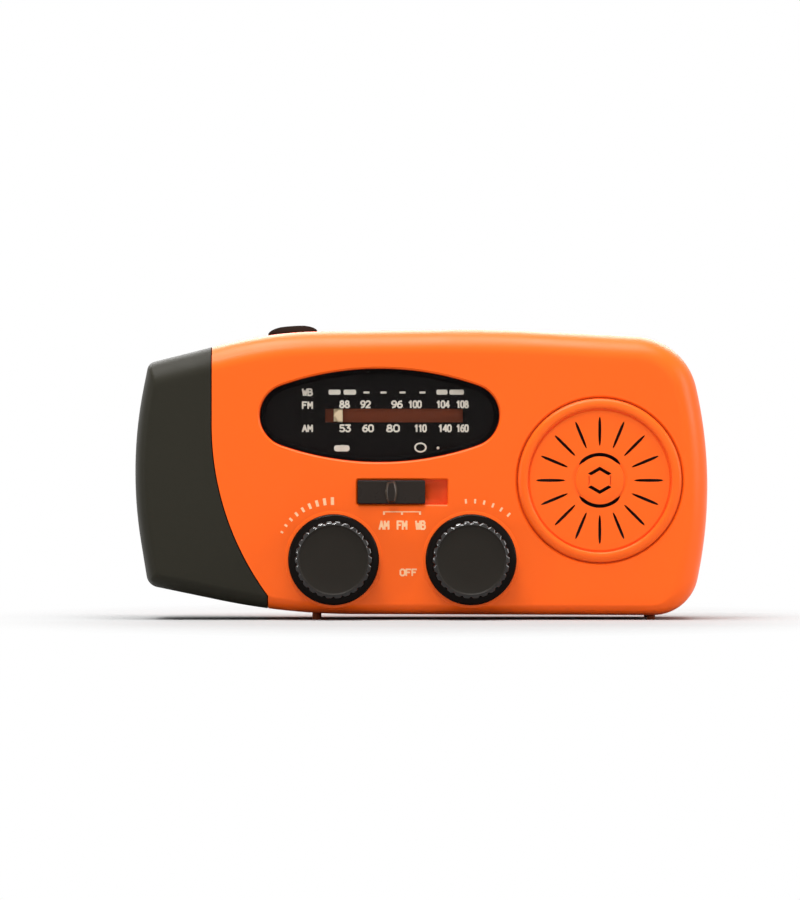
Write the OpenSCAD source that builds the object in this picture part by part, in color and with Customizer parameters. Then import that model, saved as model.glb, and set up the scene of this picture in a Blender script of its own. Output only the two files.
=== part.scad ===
// Emergency radio: a hand crank, a solar panel, a torch, a telescopic antenna and a tuning dial.
// Millimetres. +X runs from the torch to the speaker, the front faces -Y and +Z is up.
// The origin lies on the floor, under the middle of the radio.

/* [Housing] */
// Length from the torch end to the speaker end
housing_l = 127; // [126:0.5:129]
// Height of the housing without its feet
housing_h = 63.7; // [63.4:0.1:64.4]
// Front face to back face, without knobs and crank
housing_d = 33.5; // [33.5:0.5:35]
// Wall thickness of the moulded shells
wall = 2; // [1.8:0.1:2.2]
// How far the rounded edge reaches in from the outline
edge_in = 5.5; // [4:0.5:5.5]
// How far the rounded edge reaches back from the front and back faces
edge_deep = 6.5; // [5:0.5:7]

/* [Front] */
// Half the length of the dial window
window_a = 26.75; // [25:0.25:27]
// Half the height of the dial window
window_b = 10.5; // [9:0.5:10.5]
// Radius of the two knobs' skirts
knob_r = 10.1; // [9:0.1:10.5]
// Flutes round each knob
knob_flutes = 26; // [18:2:36]
// How far the knobs stand out of the front face
knob_h = 5.5; // [4.5:0.5:6.5]
// Radius of the speaker grille
grille_r = 18.2; // [17.6:0.2:18.2]
// Radial slots in the speaker grille
grille_slots = 16; // [12:2:24]

/* [Crank] */
// Crank axis to the fold-out grip's pivot
crank_reach = 31.5; // [30:0.5:34]
// Diameter of the fold-out grip
grip_d = 6.4; // [5.6:0.2:6.4]
// Length of the fold-out grip
grip_l = 20; // [16:1:20]
// Teeth of each big gear in the generator drive
gear_teeth = 40; // [40:1:40]
// Teeth of each pinion in the generator drive
pinion_teeth = 12; // [12:1:12]

/* [Antenna] */
// Outer diameter of the widest tube
antenna_d = 4.8; // [4.4:0.2:4.8]
// Length of the widest tube
antenna_l = 72; // [60:1:72]
// Tubes that slide in one another, with the widest
antenna_tubes = 5; // [5:1:5]

/* [Hidden] */
$fn = 48;
eps = 0.01;

// Planes of the housing, along Y
y_front = -housing_d / 2 - 0.75;
y_rear = housing_d / 2 - 0.75;
y_part = 0;
y_in_front = y_front + wall;
y_in_rear = y_rear - wall;
pcb_y = y_front + 11.3;
pcb_t = 1.6;

// Outline of the housing seen from the front, clockwise: x, z, corner radius, share of the edge
// rounding on the side that follows, and steps round the corner
outline_l = 127;
outline_h = 63.7;
corners = [
  [-65.2, 34.6, 96, 0.5, 5],
  [-60.7, 57.1, 2.2, 1, 3],
  [-33.4, 64.0, 92, 1, 5],
  [16.9, 64.7, 350, 1, 3],
  [58.9, 62.4, 14.4, 1, 8],
  [66.0, 31.3, 98, 1, 5],
  [60.1, 0.9, 10.2, 0.45, 7],
  [-30.0, 1.2, 150, 0.6, 4],
  [-60.8, 7.6, 3, 0.5, 3]
];
corner_count = len(corners);
least_r = 1;
edge_steps = 6;

// Seam between the torch head and the shells: straight, then an arc that ends in a short straight
seam_x = -46.7;
seam_z = 43.3;
seam_r = 64;
seam_end_x = -34.2;
seam_gap = 0.25;
collar = 2.5;

// Places on the front face, as x and z
window_at = [-9.2, 45.45];
window_flat_r = 66;
volume_at = [-19.4, 13.4];
tuning_at = [11.1, 13.4];
grille_at = [39.7, 31];
slot_x = [-14.2, 5.9];
slot_z = [25.6, 31.2];
shaft_r = 3;
switch_travel = 4.8;

// Places of the screws and of the feet
screw_at = [[-40.5, 50], [56, 49], [54, 9.5], [-30.5, 12.5]];
foot_x = [-23.3, 51.3];
foot_y = [-10.5, 9.5];
foot_r = 0.9;

// Top of the housing: solar panel and torch button
solar_x = [-16, 46];
solar_y = [-10.5, 7.5];
solar_z = 63.7;
solar_tilt = 1.02;
tray_z = 59;
button_at = [-28.7, -1, 63.85];
button_tilt = -3.9;
button_r = 5.5;
button_hole_r = button_r + 0.3;

// Dial cord, in the plane of its drum
cord_y = y_front + 5.1;
cord_w = 0.6;
drum_r = 5;
post_r = 1.5;
run_low_z = 42.4;
run_high_z = 46.4;
cord_left_x = -27;
rail_z = [43.7, 47.1];
pointer_x = -18.4;

// Generator drive
crank_at = [22, 34.5];
gear_m = 0.5;
pressure_angle = 25;
gear_backlash = 0.1;
gear_r = gear_m * gear_teeth / 2;
pinion_r = gear_m * pinion_teeth / 2;
gear_step = gear_r + pinion_r;
idler_at = crank_at - [gear_step, 0];
rotor_at = idler_at - [gear_step, 0];
frame_y = y_rear - 11.6;
gear_low_y = y_rear - 9.2;
gear_high_y = y_rear - 6.4;
gear_w = 2;
frame_x = [-15, 36];
frame_z = [24.3, 45.3];
crank_shaft_r = 2;

// Crank arm and grip
arm_y = [y_rear + 0.6, y_rear + 5.4];
arm_w = 12;
grip_y = y_rear + 0.6 + grip_d / 2;
grip_x = crank_at.x - crank_reach;
yoke_r = 2.4;
grip_post_r = 1.4;

// Antenna
antenna_at = [50, y_rear - 3.1, 57.4];
antenna_wall = 0.3;
antenna_step = 1.6;
knuckle_r = 3.2;
knuckle_out = 4.8;
groove_x = [-70, 70];
groove_y = y_rear - 6.2;
groove_z = 53.9;

// Ports on the back
flap_x = [42, 57.8];
flap_z = [17.4, 37.2];
flap_hinge = [y_rear - 0.55, 18.6];
flap_t = 1.1;
usb_a_x = [43.5, 56.6];
usb_a_z = [28.2, 33.9];
micro_x = [46.2, 53.8];
micro_z = [20.9, 23.6];
port_y = [y_rear - 14.5, y_rear - 1.25];

// Battery
battery_r = 9.1;
battery_x = [-24, 41];
battery_at = [y_in_rear - battery_r - 0.1, 14];

function unit(v) = v / norm(v);
function next(i) = (i + 1) % corner_count;
function prior(i) = (i + corner_count - 1) % corner_count;
function corner_at(i) = [corners[i].x * housing_l / outline_l, corners[i].y * housing_h / outline_h];
function side_in(i) = let (d = unit(corner_at(next(i)) - corner_at(i))) [d.y, -d.x];
function crossing(n1, c1, n2, c2) =
  let (det = n1.x * n2.y - n1.y * n2.x) [(c1 * n2.y - c2 * n1.y) / det, (n1.x * c2 - n2.x * c1) / det];

// Corner i once both its sides have moved in: by d times each side's share, and by e
function inset_corner(i, d, e) =
  let (j = prior(i), p = corner_at(i))
  crossing(side_in(j), side_in(j) * p + d * corners[j][3] + e,
    side_in(i), side_in(i) * p + d * corners[i][3] + e);

function fillet(a, p, b, r, steps) =
  let (
    u = unit(a - p), v = unit(b - p), half = acos(u * v) / 2,
    c = p + unit(u + v) * r / sin(half),
    s = p + u * r / tan(half) - c, t = p + v * r / tan(half) - c,
    from = atan2(s.y, s.x), turn = (atan2(t.y, t.x) - from + 540) % 360 - 180
  )
  [for (k = [0 : steps]) c + r * [cos(from + turn * k / steps), sin(from + turn * k / steps)]];

// Outline of the housing, drawn in by d times each side's share of the rounding and by e
function outline(d, e) = [
  for (i = [0 : corner_count - 1])
    for (q = fillet(inset_corner(prior(i), d, e), inset_corner(i, d, e), inset_corner(next(i), d, e),
        max(corners[i][2] - d - e, least_r), corners[i][4])) q
];

// Layers of the rounded body, e inside its skin, from the front face to the back face
function front_layers(e) = [
  for (k = [0 : edge_steps]) let (t = 90 - 90 * k / edge_steps)
    [y_front + e + (edge_deep - e) * (1 - sin(t)), max(edge_in - e, 1) * (1 - cos(t))]
];
function rear_layers(e) = [
  for (k = [0 : edge_steps]) let (t = 90 * k / edge_steps)
    [y_rear - e - (edge_deep - e) * (1 - sin(t)), max(edge_in - e, 1) * (1 - cos(t))]
];

module loft(layers, e) {
  rings = [for (l = layers) outline(l[1], e)];
  n = len(rings[0]);
  last = len(rings) - 1;
  points = [for (j = [0 : last]) for (p = rings[j]) [p.x, layers[j][0], p.y]];
  walls = [for (j = [0 : last - 1]) for (i = [0 : n - 1])
    [j * n + i, (j + 1) * n + i, (j + 1) * n + (i + 1) % n, j * n + (i + 1) % n]];
  front_cap = [for (i = [0 : n - 1]) i];
  rear_cap = [for (i = [n - 1 : -1 : 0]) last * n + i];
  polyhedron(points = points, faces = concat([front_cap], walls, [rear_cap]), convexity = 6);
}

module front_half() { loft(concat(front_layers(0), [[y_part, 0]]), 0); }
module rear_half() { loft(concat([[y_part, 0]], rear_layers(0)), 0); }
module whole() { loft(concat(front_layers(0), rear_layers(0)), 0); }

function wider(v, by) = [v[0] - by, v[1] + by];
function about(c, half) = [c - half, c + half];
// Puts a profile drawn in x and z between two planes across Y
module slab(from, to) { translate([0, to, 0]) rotate([90, 0, 0]) linear_extrude(to - from) children(); }
// A box given by its ranges along X, Y and Z
module block(x, y, z) { translate([x[0], y[0], z[0]]) cube([x[1] - x[0], y[1] - y[0], z[1] - z[0]]); }
// A rod along Y at x and z
module rod_y(at, from, to, r) {
  translate([at.x, to, at.y]) rotate([90, 0, 0]) cylinder(h = to - from, r = r);
}
// A rod along X at y and z
module rod_x(from, to, at, r) {
  translate([from, at.x, at.y]) rotate([0, 90, 0]) cylinder(h = to - from, r = r);
}
// A pill shape, upright, in y and z, between two planes across X
module pill_x(from, to, centre, r, half) {
  for (s = [-1, 1]) rod_x(from, to, centre + [0, s * half], r);
  block([from, to], [centre.x - r, centre.x + r], [centre.y - half, centre.y + half]);
}
// The hollow inside the housing, e inside its skin, in steps that follow the rounded edge
hollow_steps = [[0, 2.6], [1, 1.1], [2.5, 0]];
module hollow(e, from, to) for (k = [0 : 2])
  slab(max(from - k / 10, y_front + e + hollow_steps[k][0]),
      min(to + k / 10, y_rear - e - hollow_steps[k][0]))
    polygon(outline(hollow_steps[k][1], e));
module on_front(at) { translate([at.x, y_front, at.y]) rotate([90, 0, 0]) children(); }
module on_back(at) { translate([at.x, y_rear, at.y]) rotate([-90, 0, 0]) children(); }

// Everything to the torch's side of the seam, moved right by shift
module seam_region(shift) {
  difference() {
    translate([-90, -20]) square([90 + seam_end_x + shift, 120]);
    translate([seam_x + seam_r, seam_z]) circle(r = seam_r - shift);
    translate([seam_x + shift, seam_z]) square([60, 60]);
  }
}
module seam(shift) { slab(-40, 40) seam_region(shift); }

// Lens outline with round ends: half length a, half height b, arcs of radius big
module lens_shape(a, b, big) {
  end_r = (big * big - a * a - (big - b) * (big - b)) / (2 * (big - a));
  turn = atan2(big - b, a - end_r);
  polygon([
    for (k = [-6 : 6]) [a - end_r, 0] + end_r * [cos(turn * k / 6), sin(turn * k / 6)],
    for (k = [1 : 15]) let (q = turn + (180 - 2 * turn) * k / 16) [0, b - big] + big * [cos(q), sin(q)],
    for (k = [-6 : 6]) let (q = 180 + turn * k / 6) [end_r - a, 0] + end_r * [cos(q), sin(q)],
    for (k = [1 : 15]) let (q = 180 + turn + (180 - 2 * turn) * k / 16)
      [0, big - b] + big * [cos(q), sin(q)]
  ]);
}
module window_shape(inset) {
  translate(window_at) lens_shape(window_a - inset, window_b - inset, window_flat_r - inset);
}

// The bed of the solar panel, in the panel's own tilt; deep is how far it goes below the top
module solar_bed(grow, top, deep) {
  mid = (solar_x[0] + solar_x[1]) / 2;
  translate([mid, 0, solar_z]) rotate([0, solar_tilt, 0]) translate([-mid, 0, 0])
    block([solar_x[0] - grow, solar_x[1] + grow], [solar_y[0] - grow, solar_y[1] + grow], [-deep, top]);
}
module solar_tray() {
  block([solar_x[0] - 1.2, solar_x[1] + 1.2], [solar_y[0] - 1.2, solar_y[1] + 1.2], [tray_z, 70]);
}
module button_frame() { translate(button_at) rotate([0, button_tilt, 0]) children(); }
module button_hole() { button_frame() translate([0, 0, -8]) cylinder(h = 12, r = button_hole_r); }
module foot_holes() {
  for (x = foot_x) for (y = foot_y) translate([x, y, -1]) cylinder(h = 3.4, r = foot_r);
}

// Ribs that carry the ferrite rod under the solar tray
rod_at = [-1.5, 53.5];
rod_r = 4;
module ferrite_ribs() {
  for (x = [-12, 26]) difference() {
    block([x, x + 3], [rod_at.x - 6, rod_at.x + 6], [rod_at.y - 2, tray_z + eps]);
    rod_x(x - 1, x + 4, rod_at, rod_r);
    block([x - 1, x + 4], [rod_at.x - rod_r + 0.3, rod_at.x + rod_r - 0.3], [rod_at.y - 3, rod_at.y]);
  }
}

module front_shell() color("#f8702a") difference() {
  union() {
    front_half();
    for (at = [volume_at, tuning_at]) rod_y(at, y_front - 0.12, y_front + 5, knob_r + 0.7);
  }
  difference() {
    hollow(wall, y_front, y_part + 1);
    for (at = screw_at) rod_y(at, y_in_front - 0.5, y_part + 2, 2.8);
    for (at = [[-25.4, 29.5], [-7, 9], [18.5, 29]]) rod_y(at, y_in_front - 0.5, pcb_y, 1.3);
    for (at = [volume_at, tuning_at]) rod_y(at, y_in_front - 1, y_in_front + 1, 4.6);
    solar_tray();
    ferrite_ribs();
    block([-35, -26], [y_in_front - 1, -6], [54.6, 56.2]);
  }
  seam(seam_gap);
  solar_bed(0, 6, 2.5);
  button_hole();
  foot_holes();
  slab(y_front - 1, y_front + 1.5) window_shape(0);
  slab(y_front, y_in_front + 1) window_shape(1.3);
  for (at = [volume_at, tuning_at]) rod_y(at, y_front - 1, y_in_front + 2, shaft_r + 0.3);
  block(slot_x, [y_front - 1, y_front + 1.4], slot_z);
  block([-8.7, 0.7], [y_front, y_in_front + 1], [27.3, 29.5]);
  rod_y(grille_at, y_front - 1, y_front + 1.2, grille_r + 0.1);
  rod_y(grille_at, y_front, y_in_front + 1, grille_r - 1);
  for (at = screw_at) rod_y(at, -11, y_part + 1, 1.1);
}

module rear_shell() color("#f8702a") difference() {
  union() {
    rear_half();
    rod_y(crank_at, y_rear - 1, y_rear + 0.35, 9);
  }
  difference() {
    hollow(wall, y_part - 1, y_rear);
    for (at = screw_at) rod_y(at, y_part - 2, y_in_rear + 0.5, 3.4);
    for (x = [44.6, 56.4]) rod_y([x, 39], port_y[0], y_in_rear + 0.5, 1.6);
    for (x = [-16, 30]) difference() {
      block([x, x + 3], [battery_at.x, y_rear - 0.5], [0, battery_at.y + battery_r - 2]);
      rod_x(x - 1, x + 4, battery_at, battery_r + 0.05);
    }
    block([-75, 66], [groove_y - 1.6, y_rear - 0.5], [groove_z - 1.6, 70]);
    solar_tray();
    ferrite_ribs();
  }
  seam(seam_gap);
  solar_bed(0, 6, 2.5);
  button_hole();
  foot_holes();
  block(groove_x, [groove_y, y_rear + 2], [groove_z, 72]);
  rod_y([antenna_at.x, antenna_at.z], groove_y - 3, groove_y + 1, 2.05);
  rod_y(crank_at, y_in_rear - 1, y_rear + 1, 4.5);
  for (at = screw_at) {
    rod_y(at, y_part - 1, y_rear, 1.4);
    rod_y(at, y_rear - 6, y_rear + 1, 2.5);
  }
  block(flap_x, [y_rear - 1.2, y_rear + 1], flap_z);
  block(wider(usb_a_x, 0.1), [y_in_rear - 1, y_rear], wider(usb_a_z, 0.1));
  block(wider(micro_x, 0.3), [y_in_rear - 1, y_rear], wider(micro_z, 0.3));
}

// Torch head: a cap over the housing's end, with a collar inside the shells
torch_at = [-0.75, 32.4];
lens_r = 9.5;
lens_half = 7;
lens_x = -61;
torch_wall_x = -59;
module torch_head() color("#3a3834") difference() {
  union() {
    intersection() {
      whole();
      seam(0);
    }
    intersection() {
      difference() {
        hollow(wall + 0.1, y_front, y_rear);
        block([-75, 0], [groove_y - 1.75, 30], [groove_z - 1.75, 80]);
      }
      seam(collar);
    }
  }
  difference() {
    hollow(wall + 1.2, y_front, y_rear);
    block([-70, torch_wall_x], [-30, 30], [-10, 80]);
    block([-75, 0], [groove_y - 2.9, 30], [groove_z - 2.9, 80]);
  }
  block([-75, 0], [groove_y, y_rear + 2], [groove_z, 80]);
  pill_x(-70, torch_wall_x + 1, torch_at, lens_r, lens_half);
  pill_x(-70, -62.4, torch_at, lens_r + 0.8, lens_half);
  pill_x(lens_x, torch_wall_x + 1, torch_at, lens_r + 1.2, lens_half);
}
module torch_lens() color([0.9, 0.93, 0.95, 0.5])
  pill_x(lens_x, lens_x + 1.5, torch_at, lens_r + 1.1, lens_half);

led_pitch = 10.2;
cup_r = 4.9;
cup_depth = 7;
module torch_reflector() color("silver") difference() {
  pill_x(lens_x + 1.5, lens_x + 9.5, torch_at, lens_r + 1.1, lens_half);
  for (k = [-1 : 1]) translate([lens_x + 1.5, torch_at.x, torch_at.y + k * led_pitch]) rotate([0, 90, 0])
    rotate_extrude() polygon(concat([[0, -1], [cup_r, -1]],
      [for (j = [0 : 8]) let (t = j / 8) [1.7 + (cup_r - 1.7) * sqrt(1 - t), cup_depth * t]],
      [[1.7, cup_depth + 2], [0, cup_depth + 2]]));
}
module torch_leds() color("#fff6d8") for (k = [-1 : 1])
  translate([lens_x + 9.5, torch_at.x, torch_at.y + k * led_pitch]) rotate([0, -90, 0]) {
    cylinder(h = 3, r = 1.5);
    translate([0, 0, 3]) sphere(r = 1.5);
  }
module torch_led_board() color("#e8e8e0") pill_x(lens_x + 9.5, lens_x + 10.7, torch_at, lens_r, lens_half);

module torch_switch() color("#24262a") {
  block([button_at.x - 5, button_at.x + 5], [-9.5, 4], [56.2, 57.2]);
  block([button_at.x - 3, button_at.x + 3], [-4, 2], [57.2, 59.1]);
  translate([button_at.x, button_at.y, 59.1]) cylinder(h = 0.5, r = 1.7);
}
module torch_button() color("#2b2622") button_frame() rotate_extrude() polygon([
  [0, -3.2], [button_r + 0.9, -3.2], [button_r + 0.9, -2.5], [button_r, -2.5], [button_r, 0.25],
  [button_r - 0.2, 0.6],
  [button_r - 0.7, 1], [button_r - 1.6, 1.35], [button_r - 2.8, 1.6], [0, 1.7]
]);

module dial_window() color([0.06, 0.04, 0.04, 0.6]) slab(y_front + 0.2, y_front + 1.5) window_shape(0.1);
slot_at = [-21.3, 9.3];
led_at = [[3.8, 38.2], [-17.5, 38.2]];
led_r = 0.7;
module dial_plate() color("#15110f") slab(y_in_front, y_in_front + 0.6) difference() {
  window_shape(-0.6);
  translate([slot_at[0], rail_z[0] + 0.2]) square([slot_at[1] - slot_at[0], rail_z[1] - rail_z[0] - 0.4]);
  for (at = led_at) translate(at) circle(r = led_r + 0.1);
}
module cord_post(at, r) {
  rod_y(at, cord_y - 0.6, cord_y + 0.6, r - cord_w / 2 - 0.05);
  rod_y(at, cord_y + 0.6, pcb_y, r + 0.4);
}
// Moulded frame behind the dial: the pointer's rail and the posts that lead the cord
module dial_frame() color("#6b2f1c") {
  block([-25.5, 12.5], [y_front + 3.6, y_front + 4.2], rail_z);
  for (x = [[-25.5, -22.6], [10.4, 12.5]]) block(x, [y_in_front + 0.6, y_front + 4.2], rail_z);
  cord_post([tuning_at.x - drum_r - post_r, run_low_z - post_r], post_r);
  cord_post([tuning_at.x + drum_r - post_r, run_high_z - post_r], post_r);
  cord_post([cord_left_x, (run_low_z + run_high_z) / 2], (run_high_z - run_low_z) / 2);
}
function arc(c, r, from, to, steps) = [for (k = [0 : steps])
  let (q = from + (to - from) * k / steps) c + r * [cos(q), sin(q)]];
// The cord's loop round its posts and drum; out moves it away from the loop's middle
function cord_loop(out) = concat(
  arc(tuning_at, drum_r + out, 0, -180, 18),
  arc([tuning_at.x - drum_r - post_r, run_low_z - post_r], post_r - out, 0, 90, 6),
  arc([cord_left_x, (run_low_z + run_high_z) / 2], (run_high_z - run_low_z) / 2 + out, -90, -270, 12),
  arc([tuning_at.x + drum_r - post_r, run_high_z - post_r], post_r + out, 90, 0, 6)
);
module dial_cord() color("#d9cfb8") slab(cord_y - cord_w / 2, cord_y + cord_w / 2) difference() {
  polygon(cord_loop(cord_w / 2));
  polygon(cord_loop(-cord_w / 2));
}
module dial_pointer() color("#e3c3a0") difference() {
  union() {
    block(about(pointer_x, 0.9), [y_in_front + 0.15, y_front + 3.3], wider(rail_z, -0.4));
    block(about(pointer_x, 0.9), [y_front + 2.8, y_front + 3.3], [rail_z[0] + 0.4, rail_z[1] + 1.4]);
    block(about(pointer_x, 0.9), [y_front + 2.8, y_front + 5.9], [rail_z[1] + 0.3, rail_z[1] + 1.4]);
    block(about(pointer_x, 2), [y_front + 4.5, y_front + 5.9], [rail_z[1] - 1.9, rail_z[1] + 1.4]);
  }
  block(about(pointer_x, 3), about(cord_y, 0.5), about(run_high_z, 0.5));
}
module indicator_leds() color("#c8402c") for (at = led_at) {
  rod_y(at, y_in_front + 0.1, y_in_front + 4, led_r);
  for (s = [-0.4, 0.4]) rod_y(at + [s, 0], y_in_front + 4, pcb_y, 0.25);
}

// Knob in its own frame: z is the height above the front face
module knob() difference() {
  union() {
    rotate_extrude() polygon([[0, 0.3], [knob_r, 0.3], [knob_r, 1.2], [knob_r - 0.4, 1.7], [0, 1.7]]);
    intersection() {
      translate([0, 0, 1.6]) linear_extrude(knob_h - 1.6) polygon([
        for (k = [0 : 6 * knob_flutes - 1]) let (q = 60 * k / knob_flutes)
          (knob_r - 1.85 + 0.25 * cos(q * knob_flutes)) * [cos(q), sin(q)]
      ]);
      rotate_extrude() polygon([
        [0, 1.5], [knob_r, 1.5], [knob_r - 1.5, knob_h - 0.7], [knob_r - 2.1, knob_h], [0, knob_h]
      ]);
    }
  }
  translate([0, 0, knob_h - 0.3]) cylinder(h = 1, r = knob_r - 2.5);
  cylinder(h = 3.8, r = shaft_r);
}
module volume_knob() color("#34342e") on_front(volume_at) knob();
module tuning_knob() color("#34342e") on_front(tuning_at) knob();
module volume_shaft() color("#b9bcc0") rod_y(volume_at, y_front - 3.8, pcb_y - 3.2, shaft_r);
module volume_pot() color("#a9adb2") difference() {
  rod_y(volume_at, pcb_y - 6.2, pcb_y, 6.5);
  rod_y(volume_at, pcb_y - 7, pcb_y - 3, shaft_r + 0.05);
}
// Cord drum with its own shaft up to the tuning knob
module tuning_drum() color("#e8e4da") {
  rod_y(tuning_at, y_front - 3.8, pcb_y - 1.6, shaft_r);
  difference() {
    rod_y(tuning_at, cord_y - 1.2, cord_y + 1.2, drum_r + 0.9);
    difference() {
      rod_y(tuning_at, cord_y - 0.55, cord_y + 0.55, drum_r + 2);
      rod_y(tuning_at, cord_y - 2, cord_y + 2, drum_r - 0.6);
    }
  }
}
module tuning_capacitor() color("#d8d6cc") difference() {
  block([tuning_at.x - 8, tuning_at.x + 8], [pcb_y - 4.4, pcb_y], [tuning_at.y - 8, tuning_at.y + 8]);
  rod_y(tuning_at, pcb_y - 5, pcb_y - 1.4, shaft_r + 0.05);
}
module band_switch_slider() color("#2e2c29") {
  mid_z = (slot_z[0] + slot_z[1]) / 2;
  block([slot_x[0] + 0.15, slot_x[0] + 15.15], [y_front - 0.6, y_front + 1.3], wider(slot_z, -0.2));
  slab(y_front - 1.7, y_front) translate([-6.6, mid_z]) square([2.2, 5.2], center = true);
  block([-8.5, -4.5], [y_front + 1.2, y_front + 6.5], [mid_z - 0.9, mid_z + 0.9]);
}
module band_switch_body() color("#8f949a") difference() {
  block([-12.6, 4.6], [pcb_y - 6.2, pcb_y], [25.2, 31.6]);
  block([-8.8, 0.7], [pcb_y - 7, pcb_y - 4.2], [27.3, 29.5]);
}

// Grille in its own frame: z is the height above the front face
module arc_slot(r, w, from, to) rotate([0, 0, from]) rotate_extrude(angle = to - from)
  translate([r - w / 2, -3]) square([w, 5]);
module hex_slot(r, w) for (s = [0, 180]) rotate([0, 0, s]) translate([0, 0, -3]) linear_extrude(5) polygon([
  [r * cos(30), r * sin(30)], [0, r], [-r * cos(30), r * sin(30)],
  [-(r - w) * cos(30), (r - w) * sin(30)], [0, r - w], [(r - w) * cos(30), (r - w) * sin(30)]
]);
module speaker_grille() color("#f8702a") on_front(grille_at) difference() {
  rotate_extrude() polygon([
    [0, 0.05], [5.1, 0.05], [5.4, -0.3], [15.9, -0.3], [16.1, 0.35], [16.3, 0.5], [16.6, 0.52],
    [17.8, 0.18], [grille_r, -0.1], [grille_r, -1.2], [grille_r - 1.1, -1.2], [grille_r - 1.1, -2], [0, -2]
  ]);
  for (k = [0 : grille_slots - 1]) rotate([0, 0, 360 * k / grille_slots]) {
    translate([8, -0.35, -3]) cube([6.2, 0.7, 5]);
    for (x = [8, 14.2]) translate([x, 0, -3]) cylinder(h = 5, r = 0.35);
  }
  for (s = [0, 180]) arc_slot(5.85, 0.75, s + 38, s + 142);
  hex_slot(3, 0.85);
}
module speaker_frame() color("#9aa0a6") difference() {
  union() {
    rod_y(grille_at, y_in_front, y_in_front + 2.6, 17.8);
    rod_y(grille_at, y_in_front + 2.6, y_in_front + 5, 15);
  }
  rod_y(grille_at, y_in_front - 1, y_in_front + 1.6, 16.2);
  rod_y(grille_at, y_in_front - 1, y_in_front + 4.2, 14.2);
}
module speaker_cone() color("#26241f") on_front(grille_at) rotate_extrude() polygon([
  [0, -3.6], [3.5, -4.2], [4.4, -5], [13.4, -3.2], [14.4, -2.6], [15.4, -3.2], [16.2, -3.2],
  [16.2, -3.6], [14.2, -3.6], [13.6, -3.8], [4.4, -5.6], [0, -5.6]
]);
module speaker_magnet() color("#5b5f64") rod_y(grille_at, y_in_front + 5, y_in_front + 9.6, 8);

module main_board() color("#2f6b3c") difference() {
  block([-27.6, 20.4], [pcb_y, pcb_y + pcb_t], [6, 48]);
  for (at = screw_at) rod_y(at, pcb_y - 1, pcb_y + 3, 3.1);
}

module solar_window() color([0.75, 0.8, 0.9, 0.3]) solar_bed(-0.15, -0.35, 1.35);
module solar_panel() color("#161c34") solar_bed(-0.15, -1.35, 2.5);
module ferrite_rod() color("#3c3c40") rod_x(-20, 36, rod_at, rod_r);
module ferrite_coil() color("#b8743a") difference() {
  rod_x(-2, 18, rod_at, rod_r + 1.2);
  rod_x(-3, 19, rod_at, rod_r);
}

module battery_cell() color("#3faa3a") {
  rod_x(battery_x[0], battery_x[1] - 1, battery_at, battery_r);
  rod_x(battery_x[1] - 1, battery_x[1], battery_at, 3);
}
module battery_contacts() color("#c9ccd0") for (x = [battery_x[0] - 0.6, battery_x[1]])
  block([x, x + 0.6], [battery_at.x - 4, y_in_rear], [battery_at.y - 5, battery_at.y + 5]);

module charge_board() color("#2f6b3c") block([42.5, 58], [port_y[0] - 1.5, port_y[0]], [17, 41]);
module usb_a_port() color("#c9ccd0") {
  difference() {
    block(usb_a_x, port_y, usb_a_z);
    block(wider(usb_a_x, -0.35), [port_y[0] + 3, port_y[1] + 1], wider(usb_a_z, -0.35));
  }
  block(wider(usb_a_x, -0.9), [port_y[0] + 3, port_y[1] - 1], [usb_a_z[0] + 2.9, usb_a_z[0] + 4.7]);
}
module micro_usb_port() color("#c9ccd0") difference() {
  block(micro_x, port_y, micro_z);
  block(wider(micro_x, -0.3), [port_y[1] - 5, port_y[1] + 1], wider(micro_z, -0.3));
}
// Rubber flap over both ports, hinged along its lower edge
module port_cover() color("#2b2b2b") {
  x = [flap_x[0] + 0.2, flap_x[1] - 0.2];
  block(x, [flap_hinge[0] - flap_t / 2, flap_hinge[0] + flap_t / 2], [flap_hinge[1], flap_z[1] - 0.2]);
  rod_x(x[0], x[1], flap_hinge, flap_t / 2);
  block([47.5, 52.3], [flap_hinge[0], y_rear + 0.35], [flap_z[1] - 1.4, flap_z[1] - 0.6]);
}

// Involute outline of a spur gear with stub teeth, phase turns tooth 0 away from +x
function involute(q) = tan(q) - q * PI / 180;
function tooth_half(teeth, r, base_r, at_r) =
  90 / teeth - gear_backlash / (4 * r) * 180 / PI
  + (involute(pressure_angle) - involute(acos(min(base_r / at_r, 1)))) * 180 / PI;
module gear_shape(teeth, phase) {
  r = gear_m * teeth / 2;
  base_r = r * cos(pressure_angle);
  tip_r = r + 0.8 * gear_m;
  root_r = r - 1.1 * gear_m;
  low_r = max(base_r, root_r);
  flank = [for (k = [0 : 4]) low_r + (tip_r - low_r) * k / 4];
  rotate(phase) polygon([
    for (n = [0 : teeth - 1]) let (mid = 360 * n / teeth) each concat(
      [let (q = mid - tooth_half(teeth, r, base_r, low_r)) root_r * [cos(q), sin(q)]],
      [for (s = flank) let (q = mid - tooth_half(teeth, r, base_r, s)) s * [cos(q), sin(q)]],
      [for (k = [4 : -1 : 0]) let (s = flank[k], q = mid + tooth_half(teeth, r, base_r, s))
        s * [cos(q), sin(q)]],
      [let (q = mid + tooth_half(teeth, r, base_r, low_r)) root_r * [cos(q), sin(q)]]
    )
  ]);
}
// A gear at x and z, from one plane across Y to the next
module gear(at, teeth, phase, from, w) slab(from, from + w) translate(at) gear_shape(teeth, phase);

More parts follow.
